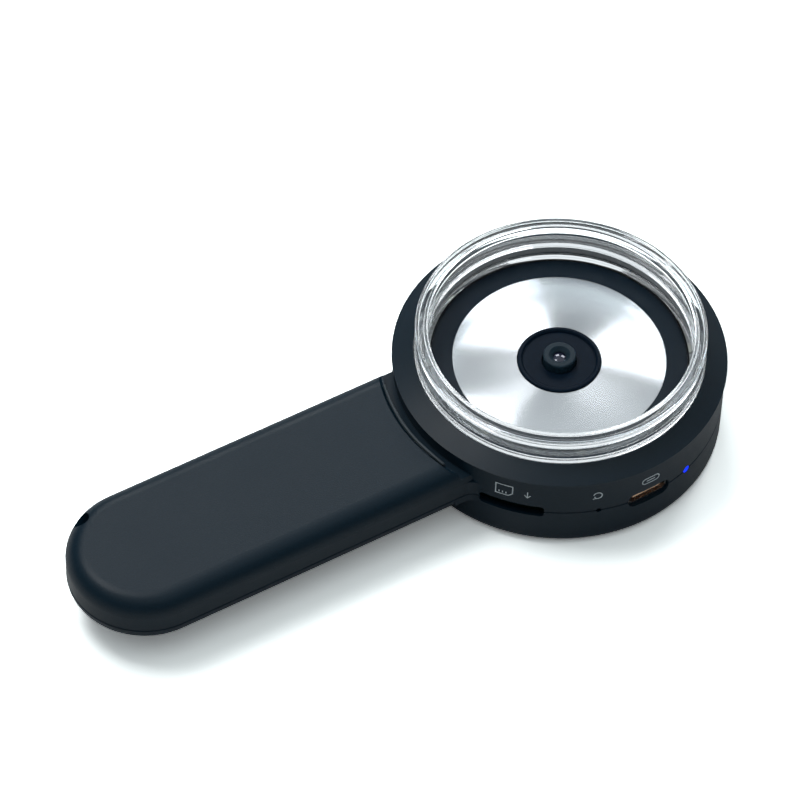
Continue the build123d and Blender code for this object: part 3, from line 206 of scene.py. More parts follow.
def spun_silver():
    """Silver turned on a lathe: fine rings round the axis, so light opens into fans."""
    material, tree, shader = new_finish("spun_silver", SILVER_COLOUR, SILVER_DULL, 1.0)
    shader.inputs["Anisotropic"].default_value = SILVER_RINGS
    shader.inputs["Anisotropic Rotation"].default_value = SILVER_RING_TURN
    tangent = tree.nodes.new("ShaderNodeTangent")
    tangent.direction_type = "RADIAL"
    tangent.axis = "Z"
    link(tree, tangent.outputs["Tangent"], shader.inputs["Tangent"])
    cloud = object_noise(tree, SILVER_CLOUD, CLOUD_DETAIL)
    link(tree, spread(tree, cloud, SILVER_SHINE, SILVER_DULL), shader.inputs["Roughness"])
    centre_out = tree.nodes.new("ShaderNodeTexCoord")
    flat = tree.nodes.new("ShaderNodeVectorMath")
    flat.operation = "MULTIPLY"
    flat.inputs[1].default_value = (1.0, 1.0, 0.0)
    link(tree, centre_out.outputs["Object"], flat.inputs[0])
    radius = tree.nodes.new("ShaderNodeVectorMath")
    radius.operation = "LENGTH"
    link(tree, flat.outputs["Vector"], radius.inputs[0])
    power = tree.nodes.new("ShaderNodeMath")
    power.operation = "POWER"
    power.inputs[1].default_value = SILVER_DOME_POWER
    link(tree, radius.outputs["Value"], power.inputs[0])
    fall = tree.nodes.new("ShaderNodeMath")
    fall.operation = "MULTIPLY"
    fall.inputs[1].default_value = -SILVER_DOME
    link(tree, power.outputs["Value"], fall.inputs[0])
    dome = tree.nodes.new("ShaderNodeMath")
    dome.operation = "MULTIPLY_ADD"
    dome.inputs[1].default_value = -SILVER_CONE
    link(tree, radius.outputs["Value"], dome.inputs[0])
    link(tree, fall.outputs["Value"], dome.inputs[2])
    add_bump(tree, shader, dome.outputs["Value"], 1.0, 1.0)
    return material


LENS_COLOUR = (0.02, 0.025, 0.04)
LENS_ROUGHNESS = 0.03
LENS_CLOUD = 400.0
LENS_TINT = 0.3
COATING_COLOUR = (0.75, 0.8, 1.0, 1.0)
COATING_ROUGHNESS = 0.02


def coated_lens():
    """Dark glass under a bluish coating."""
    material, tree, shader = new_finish("coated_lens", LENS_COLOUR, LENS_ROUGHNESS)
    shader.inputs["Coat Weight"].default_value = 1.0
    shader.inputs["Coat Roughness"].default_value = COATING_ROUGHNESS
    shader.inputs["Coat Tint"].default_value = COATING_COLOUR
    cloud = object_noise(tree, LENS_CLOUD, detail=1.0)
    add_tint(tree, shader, cloud, LENS_COLOUR, LENS_TINT)
    return material


LIGHT_COLOUR = (0.0, 0.02, 0.35)
LIGHT_ROUGHNESS = 0.35
LIGHT_SPECULAR = 0.1
LIGHT_GLOW = (0.0, 0.03, 1.0, 1.0)
LIGHT_STRENGTH = 1.1
LIGHT_CLOUD = 900.0
LIGHT_TINT = 0.15


def lit_blue():
    """End of the light guide, lit blue from inside."""
    material, tree, shader = new_finish("lit_blue", LIGHT_COLOUR, LIGHT_ROUGHNESS, 0.0, LIGHT_SPECULAR)
    shader.inputs["Emission Color"].default_value = LIGHT_GLOW
    shader.inputs["Emission Strength"].default_value = LIGHT_STRENGTH
    cloud = object_noise(tree, LIGHT_CLOUD, detail=1.0)
    add_tint(tree, shader, cloud, LIGHT_COLOUR, LIGHT_TINT)
    return material


BOARD_ROUGHNESS = 0.35
TRACK_SCALE = 260.0
TRACK_GAP = 0.03
TRACK_DARK = 0.9
TRACK_LIGHT = 1.5
TRACK_STRENGTH = 0.2
TRACK_DEPTH = 0.02 * MM


def circuit_board(name, colour):
    """Coated board with a faint pattern of tracks under the coat."""
    material, tree, shader = new_finish(name, colour, BOARD_ROUGHNESS)
    dark = [channel * TRACK_DARK for channel in colour]
    light = [min(1.0, channel * TRACK_LIGHT) for channel in colour]
    coordinates = tree.nodes.new("ShaderNodeTexCoord")
    bricks = tree.nodes.new("ShaderNodeTexBrick")
    bricks.inputs["Scale"].default_value = TRACK_SCALE
    bricks.inputs["Mortar Size"].default_value = TRACK_GAP
    bricks.inputs["Color1"].default_value = (*colour, 1.0)
    bricks.inputs["Color2"].default_value = (*dark, 1.0)
    bricks.inputs["Mortar"].default_value = (*light, 1.0)
    link(tree, coordinates.outputs["Object"], bricks.inputs["Vector"])
    link(tree, bricks.outputs["Color"], shader.inputs["Base Color"])
    add_bump(tree, shader, bricks.outputs["Fac"], TRACK_STRENGTH, TRACK_DEPTH)
    return material


SHELL_COLOUR = (0.0018, 0.0150, 0.0280)
# Painted highlight: the groove lip is coloured far lighter than the shell, so that it reads as a lit
# ridge
LIP_PAINTED_HIGHLIGHT_COLOUR = (0.045, 0.060, 0.072)
RING_COLOUR = (0.0035, 0.0155, 0.0275)

# Moulded: name, colour, roughness, grain, depth of the grain, specular level
# Metal: name, colour, roughness, stretch of its lines, their scale
# Clear: name, colour, roughness, index of refraction, scale of its waves
finishes = {
    "black_plastic": moulded("shell_black", SHELL_COLOUR, 0.42, 3400.0, 0.05 * MM, 0.27),
    "ring_plastic": moulded("ring_black", RING_COLOUR, 0.42, 5200.0, 0.012 * MM, 0.28),
    "clear_plastic": clear_finish("clear_acrylic", (0.955, 0.982, 1.0), 0.0, 1.58, 90.0),
    "well_plastic": moulded("well_black", (0.001, 0.010, 0.021), 0.45, 3000.0, 0.01 * MM, 0.18),
    "satin_silver": spun_silver(),
    "cowl_plastic": moulded("cowl_black", (0.001, 0.008, 0.019), 0.42, 2600.0, 0.004 * MM, 0.09),
    "barrel_black": moulded("barrel_black", (0.008, 0.024, 0.038), 0.45, 4200.0, 0.008 * MM, 0.22),
    "lens_glass": coated_lens(),
    "steel": metal("nickel_steel", (0.60, 0.60, 0.59), 0.28, (1.0, 1.0, 8.0)),
    "copper_tongue": moulded("tongue_amber", (0.80, 0.42, 0.25), 0.45, 2500.0, 0.004 * MM),
    "light_blue": lit_blue(),
    "window_glass": clear_finish("cover_glass", (0.30, 0.31, 0.33), 0.0, 1.45, 60.0),
    "display": moulded("panel_black", (0.010, 0.011, 0.014), 0.18, 900.0, 0.002 * MM),
    "tape_black": moulded("film_black", (0.006, 0.006, 0.007), 0.30, 2000.0, 0.002 * MM),
    "board_green": circuit_board("board_green", (0.006, 0.022, 0.016)),
    "board_white": circuit_board("board_white", (0.70, 0.71, 0.70)),
    "chip_black": moulded("chip_black", (0.022, 0.023, 0.025), 0.50, 3500.0, 0.01 * MM),
    "connector_cream": moulded("connector_cream", (0.66, 0.61, 0.50), 0.45, 3000.0, 0.006 * MM),
    "ceramic_white": moulded("ceramic_white", (0.80, 0.79, 0.70), 0.40, 3000.0, 0.006 * MM),
    "filter_glass": clear_finish("filter_glass", (0.35, 0.75, 0.80), 0.0, 1.50, 60.0),
    "brass_post": metal("turned_brass", (0.62, 0.45, 0.18), 0.25, (1.0, 1.0, 12.0)),
    "pouch_silver": metal("foil_pouch", (0.62, 0.63, 0.64), 0.36, (1.0, 6.0, 1.0), 700.0),
    "foam_grey": moulded("foam_grey", (0.19, 0.19, 0.20), 0.85, 2200.0, 0.08 * MM),
    "wire_red": moulded("wire_red", (0.42, 0.02, 0.02), 0.40, 2500.0, 0.01 * MM),
    "ribbon_amber": moulded("ribbon_amber", (0.46, 0.20, 0.04), 0.30, 1500.0, 0.004 * MM),
    "button_rubber": moulded("key_black", (0.012, 0.018, 0.023), 0.45, 4800.0, 0.01 * MM, 0.40),
}
mark_ink = moulded("mark_ink", (0.62, 0.70, 0.74), 0.55, 4000.0, 0.002 * MM)
# The lip's light colour is a painted highlight along the groove's ridge
lip_painted_highlight = moulded("lip_painted_highlight", LIP_PAINTED_HIGHLIGHT_COLOUR, 0.46, 3400.0, 0.02 * MM, 0.33)
contact_gold = metal("contact_gold", (0.95, 0.66, 0.44), 0.32, (1.0, 6.0, 1.0), 3000.0)

for entry in frame["record"]["subparts"]:
    mesh = nodes[entry["node"]].data
    mesh.materials.clear()
    mesh.materials.append(finishes[entry["material_slot"]])


# Small helpers for meshes made here

# Length kept flat beside a rounded corner
HELD_STRIP = 0.03 * MM


def finish_mesh(name, mesh_data, material):
    """Turns mesh data into an object of one material, at the origin."""
    mesh = bpy.data.meshes.new(name)
    mesh_data.to_mesh(mesh)
    mesh_data.free()
    mesh.materials.append(material)
    piece = bpy.data.objects.new(name, mesh)
    bpy.context.scene.collection.objects.link(piece)
    return piece


def lathe(name, profile, material, steps=384):
    """Turns a closed profile of (radius, height) points round Z."""
    mesh_data = bmesh.new()
    rings = []
    for step in range(steps):
        turn = 2 * math.pi * step / steps
        across = math.cos(turn)
        along = math.sin(turn)
        rings.append([mesh_data.verts.new((r * across, r * along, z)) for r, z in profile])
    count = len(profile)
    for step in range(steps):
        here = rings[step]
        there = rings[(step + 1) % steps]
        for point in range(count):
            after = (point + 1) % count
            mesh_data.faces.new((here[point], here[after], there[after], there[point]))
    bmesh.ops.recalc_face_normals(mesh_data, faces=mesh_data.faces)
    for face in mesh_data.faces:
        face.smooth = True
    return finish_mesh(name, mesh_data, material)


def held(profile, strip=HELD_STRIP):
    """Adds points close to both ends of each long run, which keep its face flat beside a corner."""
    points = []
    for index, (r, z) in enumerate(profile):
        after_r, after_z = profile[(index + 1) % len(profile)]
        length = math.hypot(after_r - r, after_z - z)
        points.append((r, z))
        if length > 4 * strip:
            for share in (strip / length, 1 - strip / length):
                points.append((r + (after_r - r) * share, z + (after_z - z) * share))
    return points


def rounded(profile, radii, steps=5):
    """Replaces the corners of a closed profile by arcs of the given radii."""
    points = []
    count = len(profile)
    for index, radius in enumerate(radii):
        corner = Vector(profile[index])
        before = (Vector(profile[index - 1]) - corner).normalized()
        after = (Vector(profile[(index + 1) % count]) - corner).normalized()
        if radius == 0:
            points.append(tuple(corner))
            continue
        half = before.angle(after) / 2
        reach = radius / math.tan(half)
        start = corner + before * reach
        end = corner + after * reach
        centre = corner + (before + after).normalized() * (radius / math.sin(half))
        first = start - centre
        last = end - centre
        sweep = first.angle_signed(last)
        for step in range(steps + 1):
            turned = first.copy()
            turned.rotate(Matrix.Rotation(-sweep * step / steps, 2))
            points.append(tuple(centre + turned))
    return points


# Clear standoff ring, turned at a fine pitch so that it shows no facets

clear_r = CLEAR_HIGH[0]
clear_low = CLEAR_LOW[2]
clear_top = CLEAR_HIGH[2]
CLEAR_WALL = 2.5 * MM
CLEAR_WAIST = 0.25 * MM
CLEAR_BODY_LOW = 19.9 * MM
CLEAR_FLANGE_TOP = 20.65 * MM
CLEAR_BEAD = 1.0 * MM
CLEAR_FOOT_W = 0.95 * MM
CLEAR_FOOT_TOP = 18.0 * MM
CLEAR_FOOT_EDGE = 0.25 * MM
CLEAR_UNDERCUT = 0.15 * MM
CLEAR_NECK = 0.4 * MM
CLEAR_GROOVE_LOW = 21.4 * MM
CLEAR_GROOVE_TOP = 24.2 * MM
CLEAR_GROOVE_DROP = 0.62 * MM
CLEAR_GROOVE_DEPTH = 1.9 * MM
CLEAR_RIM_VALLEY = 0.3 * MM
CLEAR_RIM_INNER = 0.8 * MM
CLEAR_RIM_OUTER = 0.75 * MM
clear_in_r = clear_r - CLEAR_WALL

# Roundings of its corners, from a sharp edge to a full one
CRISP = 0.03 * MM
FINE = 0.1 * MM
SMALL = 0.15 * MM
SOFT = 0.2 * MM
ROUND = 0.3 * MM
FULL = 0.4 * MM

# Each row: radius, height, rounding of that corner
clear_rows = [
    (clear_in_r, CLEAR_FOOT_TOP, SMALL),
    (clear_in_r, CLEAR_GROOVE_LOW, SOFT),
    (clear_in_r + CLEAR_GROOVE_DEPTH, CLEAR_GROOVE_LOW, SOFT),
    (clear_in_r + CLEAR_GROOVE_DEPTH, CLEAR_GROOVE_TOP - CLEAR_GROOVE_DROP, FINE),
    (clear_in_r, CLEAR_GROOVE_TOP, SOFT),
    (clear_in_r, clear_top, ROUND),
    (clear_in_r + CLEAR_RIM_INNER, clear_top, SOFT),
    (clear_in_r + CLEAR_RIM_INNER, clear_top - CLEAR_RIM_VALLEY, FINE),
    (clear_r - CLEAR_RIM_OUTER, clear_top - CLEAR_RIM_VALLEY, FINE),
    (clear_r - CLEAR_RIM_OUTER, clear_top, SOFT),
    (clear_r, clear_top, FULL),
    (clear_r, clear_top - CLEAR_BEAD, FINE),
    (clear_r - CLEAR_WAIST, clear_top - CLEAR_BEAD, FINE),
    (clear_r - CLEAR_WAIST, CLEAR_FLANGE_TOP, FINE),
    (clear_r, CLEAR_FLANGE_TOP, FINE),
    (clear_r, CLEAR_BODY_LOW, CRISP),
    (clear_in_r + CLEAR_NECK, CLEAR_BODY_LOW, 0),
    (clear_in_r + CLEAR_NECK, CLEAR_BODY_LOW - CLEAR_UNDERCUT, 0),
    (clear_r, CLEAR_BODY_LOW - CLEAR_UNDERCUT, CRISP),
    (clear_r, clear_low, FINE),
    (clear_in_r - CLEAR_FOOT_W, clear_low, FINE),
    (clear_in_r - CLEAR_FOOT_W, clear_low + CLEAR_FOOT_EDGE, FINE),
]
clear_corners = [(r, z) for r, z, rounding in clear_rows]
clear_roundings = [rounding for r, z, rounding in clear_rows]
clear_profile = rounded(clear_corners, clear_roundings)
clear_standoff = lathe("clear_standoff", held(clear_profile), finishes["clear_plastic"])
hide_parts("clear_ring")
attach(clear_standoff, "standoff")


# Signs printed on the head's wall

# Least share of a corner that its mitre is worked out from
MITRE_LEAST = 0.5


def ribbon(mesh_data, points, closed, place, width):
    """Lays a flat strip of one width along 2-D points; place puts (u, v, lift) into the frame."""
    count = len(points)
    left = []
    right = []
    for index in range(count):
        here = Vector(points[index])
        before = Vector(points[index - 1]) if closed or index > 0 else None
        after = Vector(points[(index + 1) % count]) if closed or index < count - 1 else None
        along = Vector((0.0, 0.0))
        if before is not None:
            along += (here - before).normalized()
        if after is not None:
            along += (after - here).normalized()
        along.normalize()
        side = Vector((-along.y, along.x))
        stretch = 1.0
        if before is not None and after is not None:
            onward = after - here
            across = Vector((-onward.y, onward.x)).normalized()
            stretch = 1.0 / max(MITRE_LEAST, side.dot(across))
        left.append(here + side * width / 2 * stretch)
        right.append(here - side * width / 2 * stretch)
    steps = count if closed else count - 1
    low = [[mesh_data.verts.new(place(p.x, p.y, 0.0)) for p in row] for row in (left, right)]
    high = [[mesh_data.verts.new(place(p.x, p.y, MARK_T)) for p in row] for row in (left, right)]
    for index in range(steps):
        after = (index + 1) % count
        top = (high[0][index], high[1][index], high[1][after], high[0][after])
        bottom = (low[0][after], low[1][after], low[1][index], low[0][index])
        mesh_data.faces.new(top)
        mesh_data.faces.new(bottom)
        mesh_data.faces.new((low[0][index], high[0][index], high[0][after], low[0][after]))
        mesh_data.faces.new((high[1][index], low[1][index], low[1][after], high[1][after]))
    if not closed:
        mesh_data.faces.new((low[1][0], high[1][0], high[0][0], low[0][0]))
        mesh_data.faces.new((low[0][-1], high[0][-1], high[1][-1], low[1][-1]))


def on_wall(angle, height):
    """A place function for signs on the head's wall, which are read with the screen side up."""
    def place(u, v, lift):
        turn = math.radians(angle) - u / WALL_R
        reach = WALL_R + lift
        return (reach * math.cos(turn), reach * math.sin(turn), height - v)
    return place


def subdivide_path(points, closed, most):
    """Adds points so that no step is longer than most, to follow the round wall."""
    result = []
    count = len(points)
    for index in range(count if closed else count - 1):
        start = Vector(points[index])
        end = Vector(points[(index + 1) % count])
        parts = max(1, math.ceil((end - start).length / most))
        for part in range(parts):
            result.append(tuple(start.lerp(end, part / parts)))
    if not closed:
        result.append(tuple(points[-1]))
    return result


def arc_path(radius, start, end, steps):
    """Points on an arc from one angle to another, in degrees."""
    turns = [math.radians(start + (end - start) * step / steps) for step in range(steps + 1)]
    return [(radius * math.cos(turn), radius * math.sin(turn)) for turn in turns]


def bar_path(half_length, half_height, steps=8):
    """Outline of a bar with round ends."""
    straight = half_length - half_height
    right_end = [(x + straight, y) for x, y in arc_path(half_height, -90, 90, steps)]
    left_end = [(x - straight, y) for x, y in arc_path(half_height, 90, 270, steps)]
    return right_end + left_end


def mark(name, strokes, place, body, width=MARK_LINE):
    """Prints strokes, given in millimetres as points and whether they close, on a body."""
    mesh_data = bmesh.new()
    for points, closed in strokes:
        scaled = [(x * MM, y * MM) for x, y in points]
        ribbon(mesh_data, subdivide_path(scaled, closed, MARK_STEP), closed, place, width)
    bmesh.ops.recalc_face_normals(mesh_data, faces=mesh_data.faces)
    piece = finish_mesh(name, mesh_data, mark_ink)
    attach(piece, body)
    return piece


# Sizes of the signs on the wall, in millimetres and degrees; v runs up with the screen side up
CARD_OUTLINE = [(-1.7, -1.4), (1.7, -1.4), (1.7, 1.4), (-0.9, 1.4), (-1.7, 0.6)]
CARD_TEETH = (-0.4, 0.3, 1.0)
TOOTH_LOW = 0.5
TOOTH_HIGH = 1.0
ARROW_SHAFT = [(0, -0.8), (0, 0.8)]
ARROW_HEAD = [(-0.6, 0.2), (0, 0.85), (0.6, 0.2)]
RESET_R = 0.85
RESET_START = 60
RESET_END = 345
RESET_HEAD = [(0.95, 0.95), (0.42, 0.74), (0.62, 0.2)]
PORT_HALF_LENGTH = 1.9
PORT_HALF_HEIGHT = 0.75
PORT_LINE = 0.95
ARC_STEPS = 20

card_strokes = [(CARD_OUTLINE, True)]
for tooth in CARD_TEETH:
    card_strokes.append(([(tooth, TOOTH_LOW), (tooth, TOOTH_HIGH)], False))
mark("card_mark", card_strokes, on_wall(CARD_MARK_ANGLE, MARK_Z), "housing")

arrow_strokes = [(ARROW_SHAFT, False), (ARROW_HEAD, False)]
mark("card_arrow", arrow_strokes, on_wall(CARD_ARROW_ANGLE, MARK_Z), "housing")

reset_arc = arc_path(RESET_R, RESET_START, RESET_END, ARC_STEPS)
reset_strokes = [(reset_arc, False), (RESET_HEAD, False)]
mark("reset_mark", reset_strokes, on_wall(RESET_ANGLE, MARK_Z), "housing")

port_outline = bar_path(PORT_HALF_LENGTH, PORT_HALF_HEIGHT)
port_strokes = [(port_outline, True), ([(-PORT_LINE, 0), (PORT_LINE, 0)], False)]
mark("port_mark", port_strokes, on_wall(USB_ANGLE, MARK_Z), "housing")


# Signs on the keys of the screen side

KEY_MARK_SUNK = 0.031 * MM


def on_key(node):
    """A place function for signs on a key's outer face, seen from below."""
    low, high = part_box(node)
    centre_x = (low[0] + high[0]) / 2
    centre_y = (low[1] + high[1]) / 2
    level = low[2]

    def place(u, v, lift):
        return (centre_x + v, centre_y + u, level + KEY_MARK_SUNK - lift * 2)
    return place


# Sizes of the signs on the keys, in millimetres and degrees
ZOOM_ARM = 1.1
SHUTTER_HALF_LENGTH = 2.1
SHUTTER_HALF_HEIGHT = 1.3
SHUTTER_R = 0.75
POWER_R = 1.1
POWER_START = 125
POWER_END = 415
POWER_LINE = [(0, 0.4), (0, 1.5)]
CIRCLE_STEPS = 24

across_stroke = ([(-ZOOM_ARM, 0), (ZOOM_ARM, 0)], False)
upright_stroke = ([(0, -ZOOM_ARM), (0, ZOOM_ARM)], False)
plus_strokes = [across_stroke, upright_stroke]
minus_strokes = [across_stroke]
shutter_outline = bar_path(SHUTTER_HALF_LENGTH, SHUTTER_HALF_HEIGHT)
shutter_circle = arc_path(SHUTTER_R, 0, 360, CIRCLE_STEPS)[:-1]
shutter_strokes = [(shutter_outline, True), (shutter_circle, True)]
power_arc = arc_path(POWER_R, POWER_START, POWER_END, CIRCLE_STEPS)
power_strokes = [(power_arc, False), (POWER_LINE, False)]
mark("plus_mark", plus_strokes, on_key("zoom_in_button"), "zoom_in_key")
mark("minus_mark", minus_strokes, on_key("zoom_out_button"), "zoom_out_key")
mark("shutter_mark", shutter_strokes, on_key("shutter_button"), "shutter_key")
mark("power_mark", power_strokes, on_key("power_button"), "power_key")


# Soft edges

def rod(name, path, radius, material, sides=16):
    """Sweeps a circle along a path that climbs little."""
    mesh_data = bmesh.new()
    rings = []
    for index, here in enumerate(path):
        before = path[max(index - 1, 0)]
        after = path[min(index + 1, len(path) - 1)]
        along = (after - before).normalized()
        side = along.cross(Vector((0.0, 0.0, 1.0))).normalized()
        lift = side.cross(along)
        ring = []
        for step in range(sides):
            turn = 2 * math.pi * step / sides
            out = side * math.cos(turn) + lift * math.sin(turn)
            ring.append(mesh_data.verts.new(here + out * radius))
        rings.append(ring)
    for low, high in zip(rings, rings[1:]):
        for step in range(sides):
            after = (step + 1) % sides
            mesh_data.faces.new((low[step], low[after], high[after], high[step]))
    mesh_data.faces.new(rings[0])
    mesh_data.faces.new(rings[-1][::-1])
    bmesh.ops.recalc_face_normals(mesh_data, faces=mesh_data.faces)
    for face in mesh_data.faces:
        face.smooth = len(face.verts) == 4
    return finish_mesh(name, mesh_data, material)


# Lip of the groove between the head and the handle, coloured light as a painted highlight on its ridge
LIP_R = 34.55 * MM
LIP_SIZE = 0.3 * MM
LIP_STANDS = 0.05 * MM
LIP_SPREAD = 19.0
LIP_SUNK = 0.45 * MM
LIP_STEPS = 48
LIP_DIVE_POWER = 8
HANDLE_TOP = 17.1 * MM


def groove_lip():
    """A thin lip on the handle's top, which dives into the handle at both ends; its light colour is a
    painted highlight.
    """
    path = []
    for step in range(LIP_STEPS + 1):
        share = 2 * step / LIP_STEPS - 1
        turn = math.radians(180 + LIP_SPREAD * share)
        level = HANDLE_TOP + LIP_STANDS - LIP_SIZE - LIP_SUNK * share ** LIP_DIVE_POWER
        path.append(Vector((LIP_R * math.cos(turn), LIP_R * math.sin(turn), level)))
    lip = rod("groove_lip", path, LIP_SIZE, lip_painted_highlight)
    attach(lip, "housing")


# Rounded nose of the port's tongue
NOSE_SIZE = 0.36 * MM
NOSE_HALF_LENGTH = 3.2 * MM
NOSE_REACH = 30.8 * MM
NOSE_STEPS = 8


def tongue_nose():
    """A gilt round edge along the front of the tongue."""
    centre = port_out * NOSE_REACH + Vector((0.0, 0.0, SEAM_LEVEL))
    path = []
    for step in range(NOSE_STEPS + 1):
        share = 2 * step / NOSE_STEPS - 1
        path.append(centre + port_side * NOSE_HALF_LENGTH * share)
    nose = rod("tongue_nose", path, NOSE_SIZE, contact_gold)
    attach(nose, "housing")


groove_lip()
tongue_nose()


# Contacts on the port's tongue: one strip, repeated along the port by a node tree

def contact_row(name, count, pitch, size, origin, turn):
    """A row of flat strips made by geometry nodes, then turned into a plain mesh."""
    tree = bpy.data.node_groups.new(name + "_tree", "GeometryNodeTree")
    tree.interface.new_socket("Geometry", in_out="INPUT", socket_type="NodeSocketGeometry")
    tree.interface.new_socket("Count", in_out="INPUT", socket_type="NodeSocketInt")
    tree.interface.new_socket("Pitch", in_out="INPUT", socket_type="NodeSocketFloat")
    tree.interface.new_socket("Strip size", in_out="INPUT", socket_type="NodeSocketVector")
    tree.interface.new_socket("Geometry", in_out="OUTPUT", socket_type="NodeSocketGeometry")
    inlet = tree.nodes.new("NodeGroupInput")
    outlet = tree.nodes.new("NodeGroupOutput")
    strip = tree.nodes.new("GeometryNodeMeshCube")
    row = tree.nodes.new("GeometryNodeMeshLine")
    offset = tree.nodes.new("ShaderNodeCombineXYZ")
    instance = tree.nodes.new("GeometryNodeInstanceOnPoints")
    realize = tree.nodes.new("GeometryNodeRealizeInstances")
    paint = tree.nodes.new("GeometryNodeSetMaterial")
    paint.inputs["Material"].default_value = contact_gold
    link(tree, inlet.outputs["Count"], row.inputs["Count"])
    link(tree, inlet.outputs["Pitch"], offset.inputs["X"])
    link(tree, offset.outputs["Vector"], row.inputs["Offset"])
    link(tree, inlet.outputs["Strip size"], strip.inputs["Size"])
    link(tree, row.outputs["Mesh"], instance.inputs["Points"])
    link(tree, strip.outputs["Mesh"], instance.inputs["Instance"])
    link(tree, instance.outputs["Instances"], realize.inputs["Geometry"])
    link(tree, realize.outputs["Geometry"], paint.inputs["Geometry"])
    link(tree, paint.outputs["Geometry"], outlet.inputs["Geometry"])

    carrier = bpy.data.objects.new(name + "_carrier", bpy.data.meshes.new(name + "_carrier"))
    bpy.context.scene.collection.objects.link(carrier)
    modifier = carrier.modifiers.new("row", "NODES")
    modifier.node_group = tree
    inputs = [item for item in tree.interface.items_tree if item.in_out == "INPUT"]
    sockets = {item.name: item.identifier for item in inputs}
    modifier[sockets["Count"]] = count
    modifier[sockets["Pitch"]] = pitch
    modifier[sockets["Strip size"]] = size
    bpy.context.view_layer.update()
    evaluated = carrier.evaluated_get(bpy.context.evaluated_depsgraph_get())
    mesh = bpy.data.meshes.new_from_object(evaluated)
    bpy.data.objects.remove(carrier)
    place = Matrix.Translation(origin) @ Matrix.Rotation(turn, 4, "Z")
    place = place @ Matrix.Translation((-pitch * (count - 1) / 2, 0, 0))
    mesh.transform(place)
    piece = bpy.data.objects.new(name, mesh)
    bpy.context.scene.collection.objects.link(piece)
    return piece


CONTACT_COUNT = 12
CONTACT_PITCH = 0.5 * MM
CONTACT_SIZE = (0.28 * MM, 3.2 * MM, 0.04 * MM)
CONTACT_REACH = 29.0 * MM
CONTACT_LIFT = 0.015 * MM
TONGUE_T = 0.7 * MM
tongue_turn = port_turn + math.pi / 2
for side, label in ((1, "upper"), (-1, "lower")):
    level = SEAM_LEVEL + side * (TONGUE_T / 2 + CONTACT_LIFT)
    origin = port_out * CONTACT_REACH + Vector((0.0, 0.0, level))
    row_name = "usb_contacts_" + label
    contacts = contact_row(row_name, CONTACT_COUNT, CONTACT_PITCH, CONTACT_SIZE, origin, tongue_turn)
    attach(contacts, "housing")


# Floor, light and camera

FLOOR_SIZE = 6.0
FLOOR_COLOUR = (0.74, 0.76, 0.76, 1.0)
FLOOR_SEEN = (2.30, 2.42, 2.40, 1.0)
FLOOR_GLOW = 0.08
ROOM_COLOUR = (0.94, 0.98, 1.0, 1.0)
ROOM_HIGH = 0.66
ROOM_LOW = 0.12
ROOM_FADE_END = 0.60
ROOM_FADE_START = 0.92
STRAIGHT_UP = (0.0, 0.0, 1.0)

# Lamps: name, direction from the head, distance, side of the square in metres, watts
LAMPS = [
    ("back_box", (0.286, 0.745, 0.602), 1.1, 0.30, 1.9),
    ("end_box", (-0.30, 0.34, 0.89), 0.53, 0.20, 0.80),
    ("right_box", (0.642, 0.417, 0.643), 1.1, 0.32, 1.9),
]


def seen_straight(tree):
    """One for what the camera sees, straight or through clear plastic, else zero."""
    rays = tree.nodes.new("ShaderNodeLightPath")
    direct = tree.nodes.new("ShaderNodeMath")
    direct.operation = "MAXIMUM"
    link(tree, rays.outputs["Is Camera Ray"], direct.inputs[0])
    link(tree, rays.outputs["Is Transmission Ray"], direct.inputs[1])
    return direct.outputs[0]


def studio_floor():
    """A table that the camera sees as white where nothing shades it."""
    bpy.ops.mesh.primitive_plane_add(size=FLOOR_SIZE, location=(0, 0, 0))
    floor = bpy.context.object
    floor.name = "studio_floor"
    material = bpy.data.materials.new("white_table")
    material.use_nodes = True
    tree = material.node_tree
    tree.nodes.clear()
    output = tree.nodes.new("ShaderNodeOutputMaterial")
    paper = tree.nodes.new("ShaderNodeBsdfDiffuse")
    colours = tree.nodes.new("ShaderNodeMix")
    colours.data_type = "RGBA"
    colours.inputs["A"].default_value = FLOOR_COLOUR
    colours.inputs["B"].default_value = FLOOR_SEEN
    link(tree, seen_straight(tree), colours.inputs["Factor"])
    link(tree, colours.outputs["Result"], paper.inputs["Color"])
    glow = tree.nodes.new("ShaderNodeEmission")
    strength = tree.nodes.new("ShaderNodeMath")
    strength.operation = "MULTIPLY"
    strength.inputs[1].default_value = FLOOR_GLOW
    link(tree, seen_straight(tree), strength.inputs[0])
    link(tree, strength.outputs[0], glow.inputs["Strength"])
    both = tree.nodes.new("ShaderNodeAddShader")
    link(tree, paper.outputs["BSDF"], both.inputs[0])
    link(tree, glow.outputs["Emission"], both.inputs[1])
    link(tree, both.outputs["Shader"], output.inputs["Surface"])
    floor.data.materials.append(material)


def studio_world():
    """A white ceiling over dim walls; the camera sees plain white."""
    world = bpy.data.worlds.new("white_room")
    bpy.context.scene.world = world
    world.use_nodes = True
    tree = world.node_tree
    background = tree.nodes["Background"]
    background.inputs["Color"].default_value = ROOM_COLOUR
    direction = tree.nodes.new("ShaderNodeTexCoord")
    height = tree.nodes.new("ShaderNodeVectorMath")
    height.operation = "DOT_PRODUCT"
    height.inputs[1].default_value = STRAIGHT_UP
    link(tree, direction.outputs["Generated"], height.inputs[0])
    falloff = tree.nodes.new("ShaderNodeMapRange")
    falloff.interpolation_type = "SMOOTHSTEP"
    falloff.inputs["From Min"].default_value = ROOM_FADE_END
    falloff.inputs["From Max"].default_value = ROOM_FADE_START
    falloff.inputs["To Min"].default_value = ROOM_LOW
    falloff.inputs["To Max"].default_value = ROOM_HIGH
    link(tree, height.outputs["Value"], falloff.inputs["Value"])
    white = tree.nodes.new("ShaderNodeMix")
    white.inputs["B"].default_value = 1.0
    link(tree, seen_straight(tree), white.inputs["Factor"])
    link(tree, falloff.outputs["Result"], white.inputs["A"])
    link(tree, white.outputs["Result"], background.inputs["Strength"])


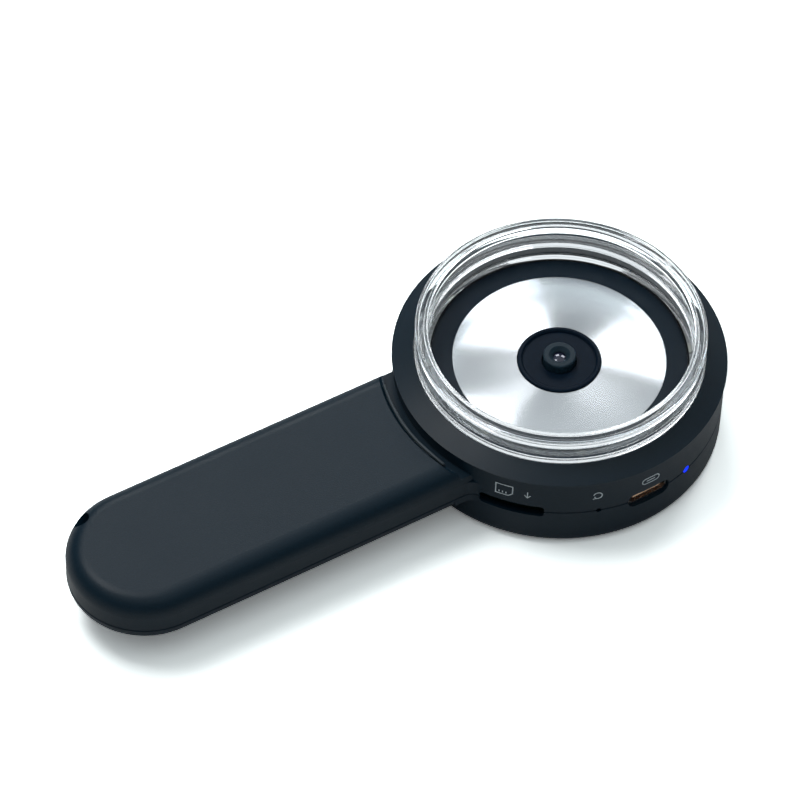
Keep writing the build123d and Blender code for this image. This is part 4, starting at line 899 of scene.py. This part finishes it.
def softbox(name, direction, distance, size, watts):
    """A plain square lamp that looks at the head from a direction."""
    lamp = bpy.data.lights.new(name, "AREA")
    lamp.shape = "SQUARE"
    lamp.size = size
    lamp.energy = watts
    holder = bpy.data.objects.new(name, lamp)
    bpy.context.scene.collection.objects.link(holder)
    place = Vector(direction).normalized() * distance
    holder.location = place
    holder.rotation_euler = (-place).to_track_quat("-Z", "Y").to_euler()


studio_floor()
studio_world()
for name, direction, distance, size, watts in LAMPS:
    softbox(name, direction, distance, size, watts)

CAMERA_AZIMUTH = math.radians(-31.931)
CAMERA_ELEVATION = math.radians(50.818)
CAMERA_ROLL = math.radians(1.809)
CAMERA_DISTANCE = 980.263 * MM
CAMERA_RIGHT = -30.491 * MM
CAMERA_UP = 2.647 * MM
CAMERA_LENS = 225.0
CAMERA_SENSOR = 36.0
CAMERA_NEAR = 0.01
CAMERA_FAR = 20.0


def photo_camera():
    """The camera as it stood for the photograph, placed from the head's middle on the table."""
    back = Vector((
        math.sin(CAMERA_AZIMUTH) * math.cos(CAMERA_ELEVATION),
        -math.cos(CAMERA_AZIMUTH) * math.cos(CAMERA_ELEVATION),
        math.sin(CAMERA_ELEVATION),
    ))
    level_right = Vector((math.cos(CAMERA_AZIMUTH), math.sin(CAMERA_AZIMUTH), 0.0))
    level_up = back.cross(level_right)
    right = level_right * math.cos(CAMERA_ROLL) + level_up * math.sin(CAMERA_ROLL)
    up = level_up * math.cos(CAMERA_ROLL) - level_right * math.sin(CAMERA_ROLL)
    lens = bpy.data.cameras.new("photo_camera")
    lens.lens = CAMERA_LENS
    lens.sensor_width = CAMERA_SENSOR
    lens.sensor_fit = "HORIZONTAL"
    lens.clip_start = CAMERA_NEAR
    lens.clip_end = CAMERA_FAR
    camera = bpy.data.objects.new("photo_camera", lens)
    bpy.context.scene.collection.objects.link(camera)
    turn = Matrix((right, up, back)).transposed().to_4x4()
    place = back * CAMERA_DISTANCE + right * CAMERA_RIGHT + up * CAMERA_UP
    camera.matrix_world = Matrix.Translation(place) @ turn
    bpy.context.scene.camera = camera


photo_camera()
bpy.context.scene.view_settings.view_transform = "Standard"
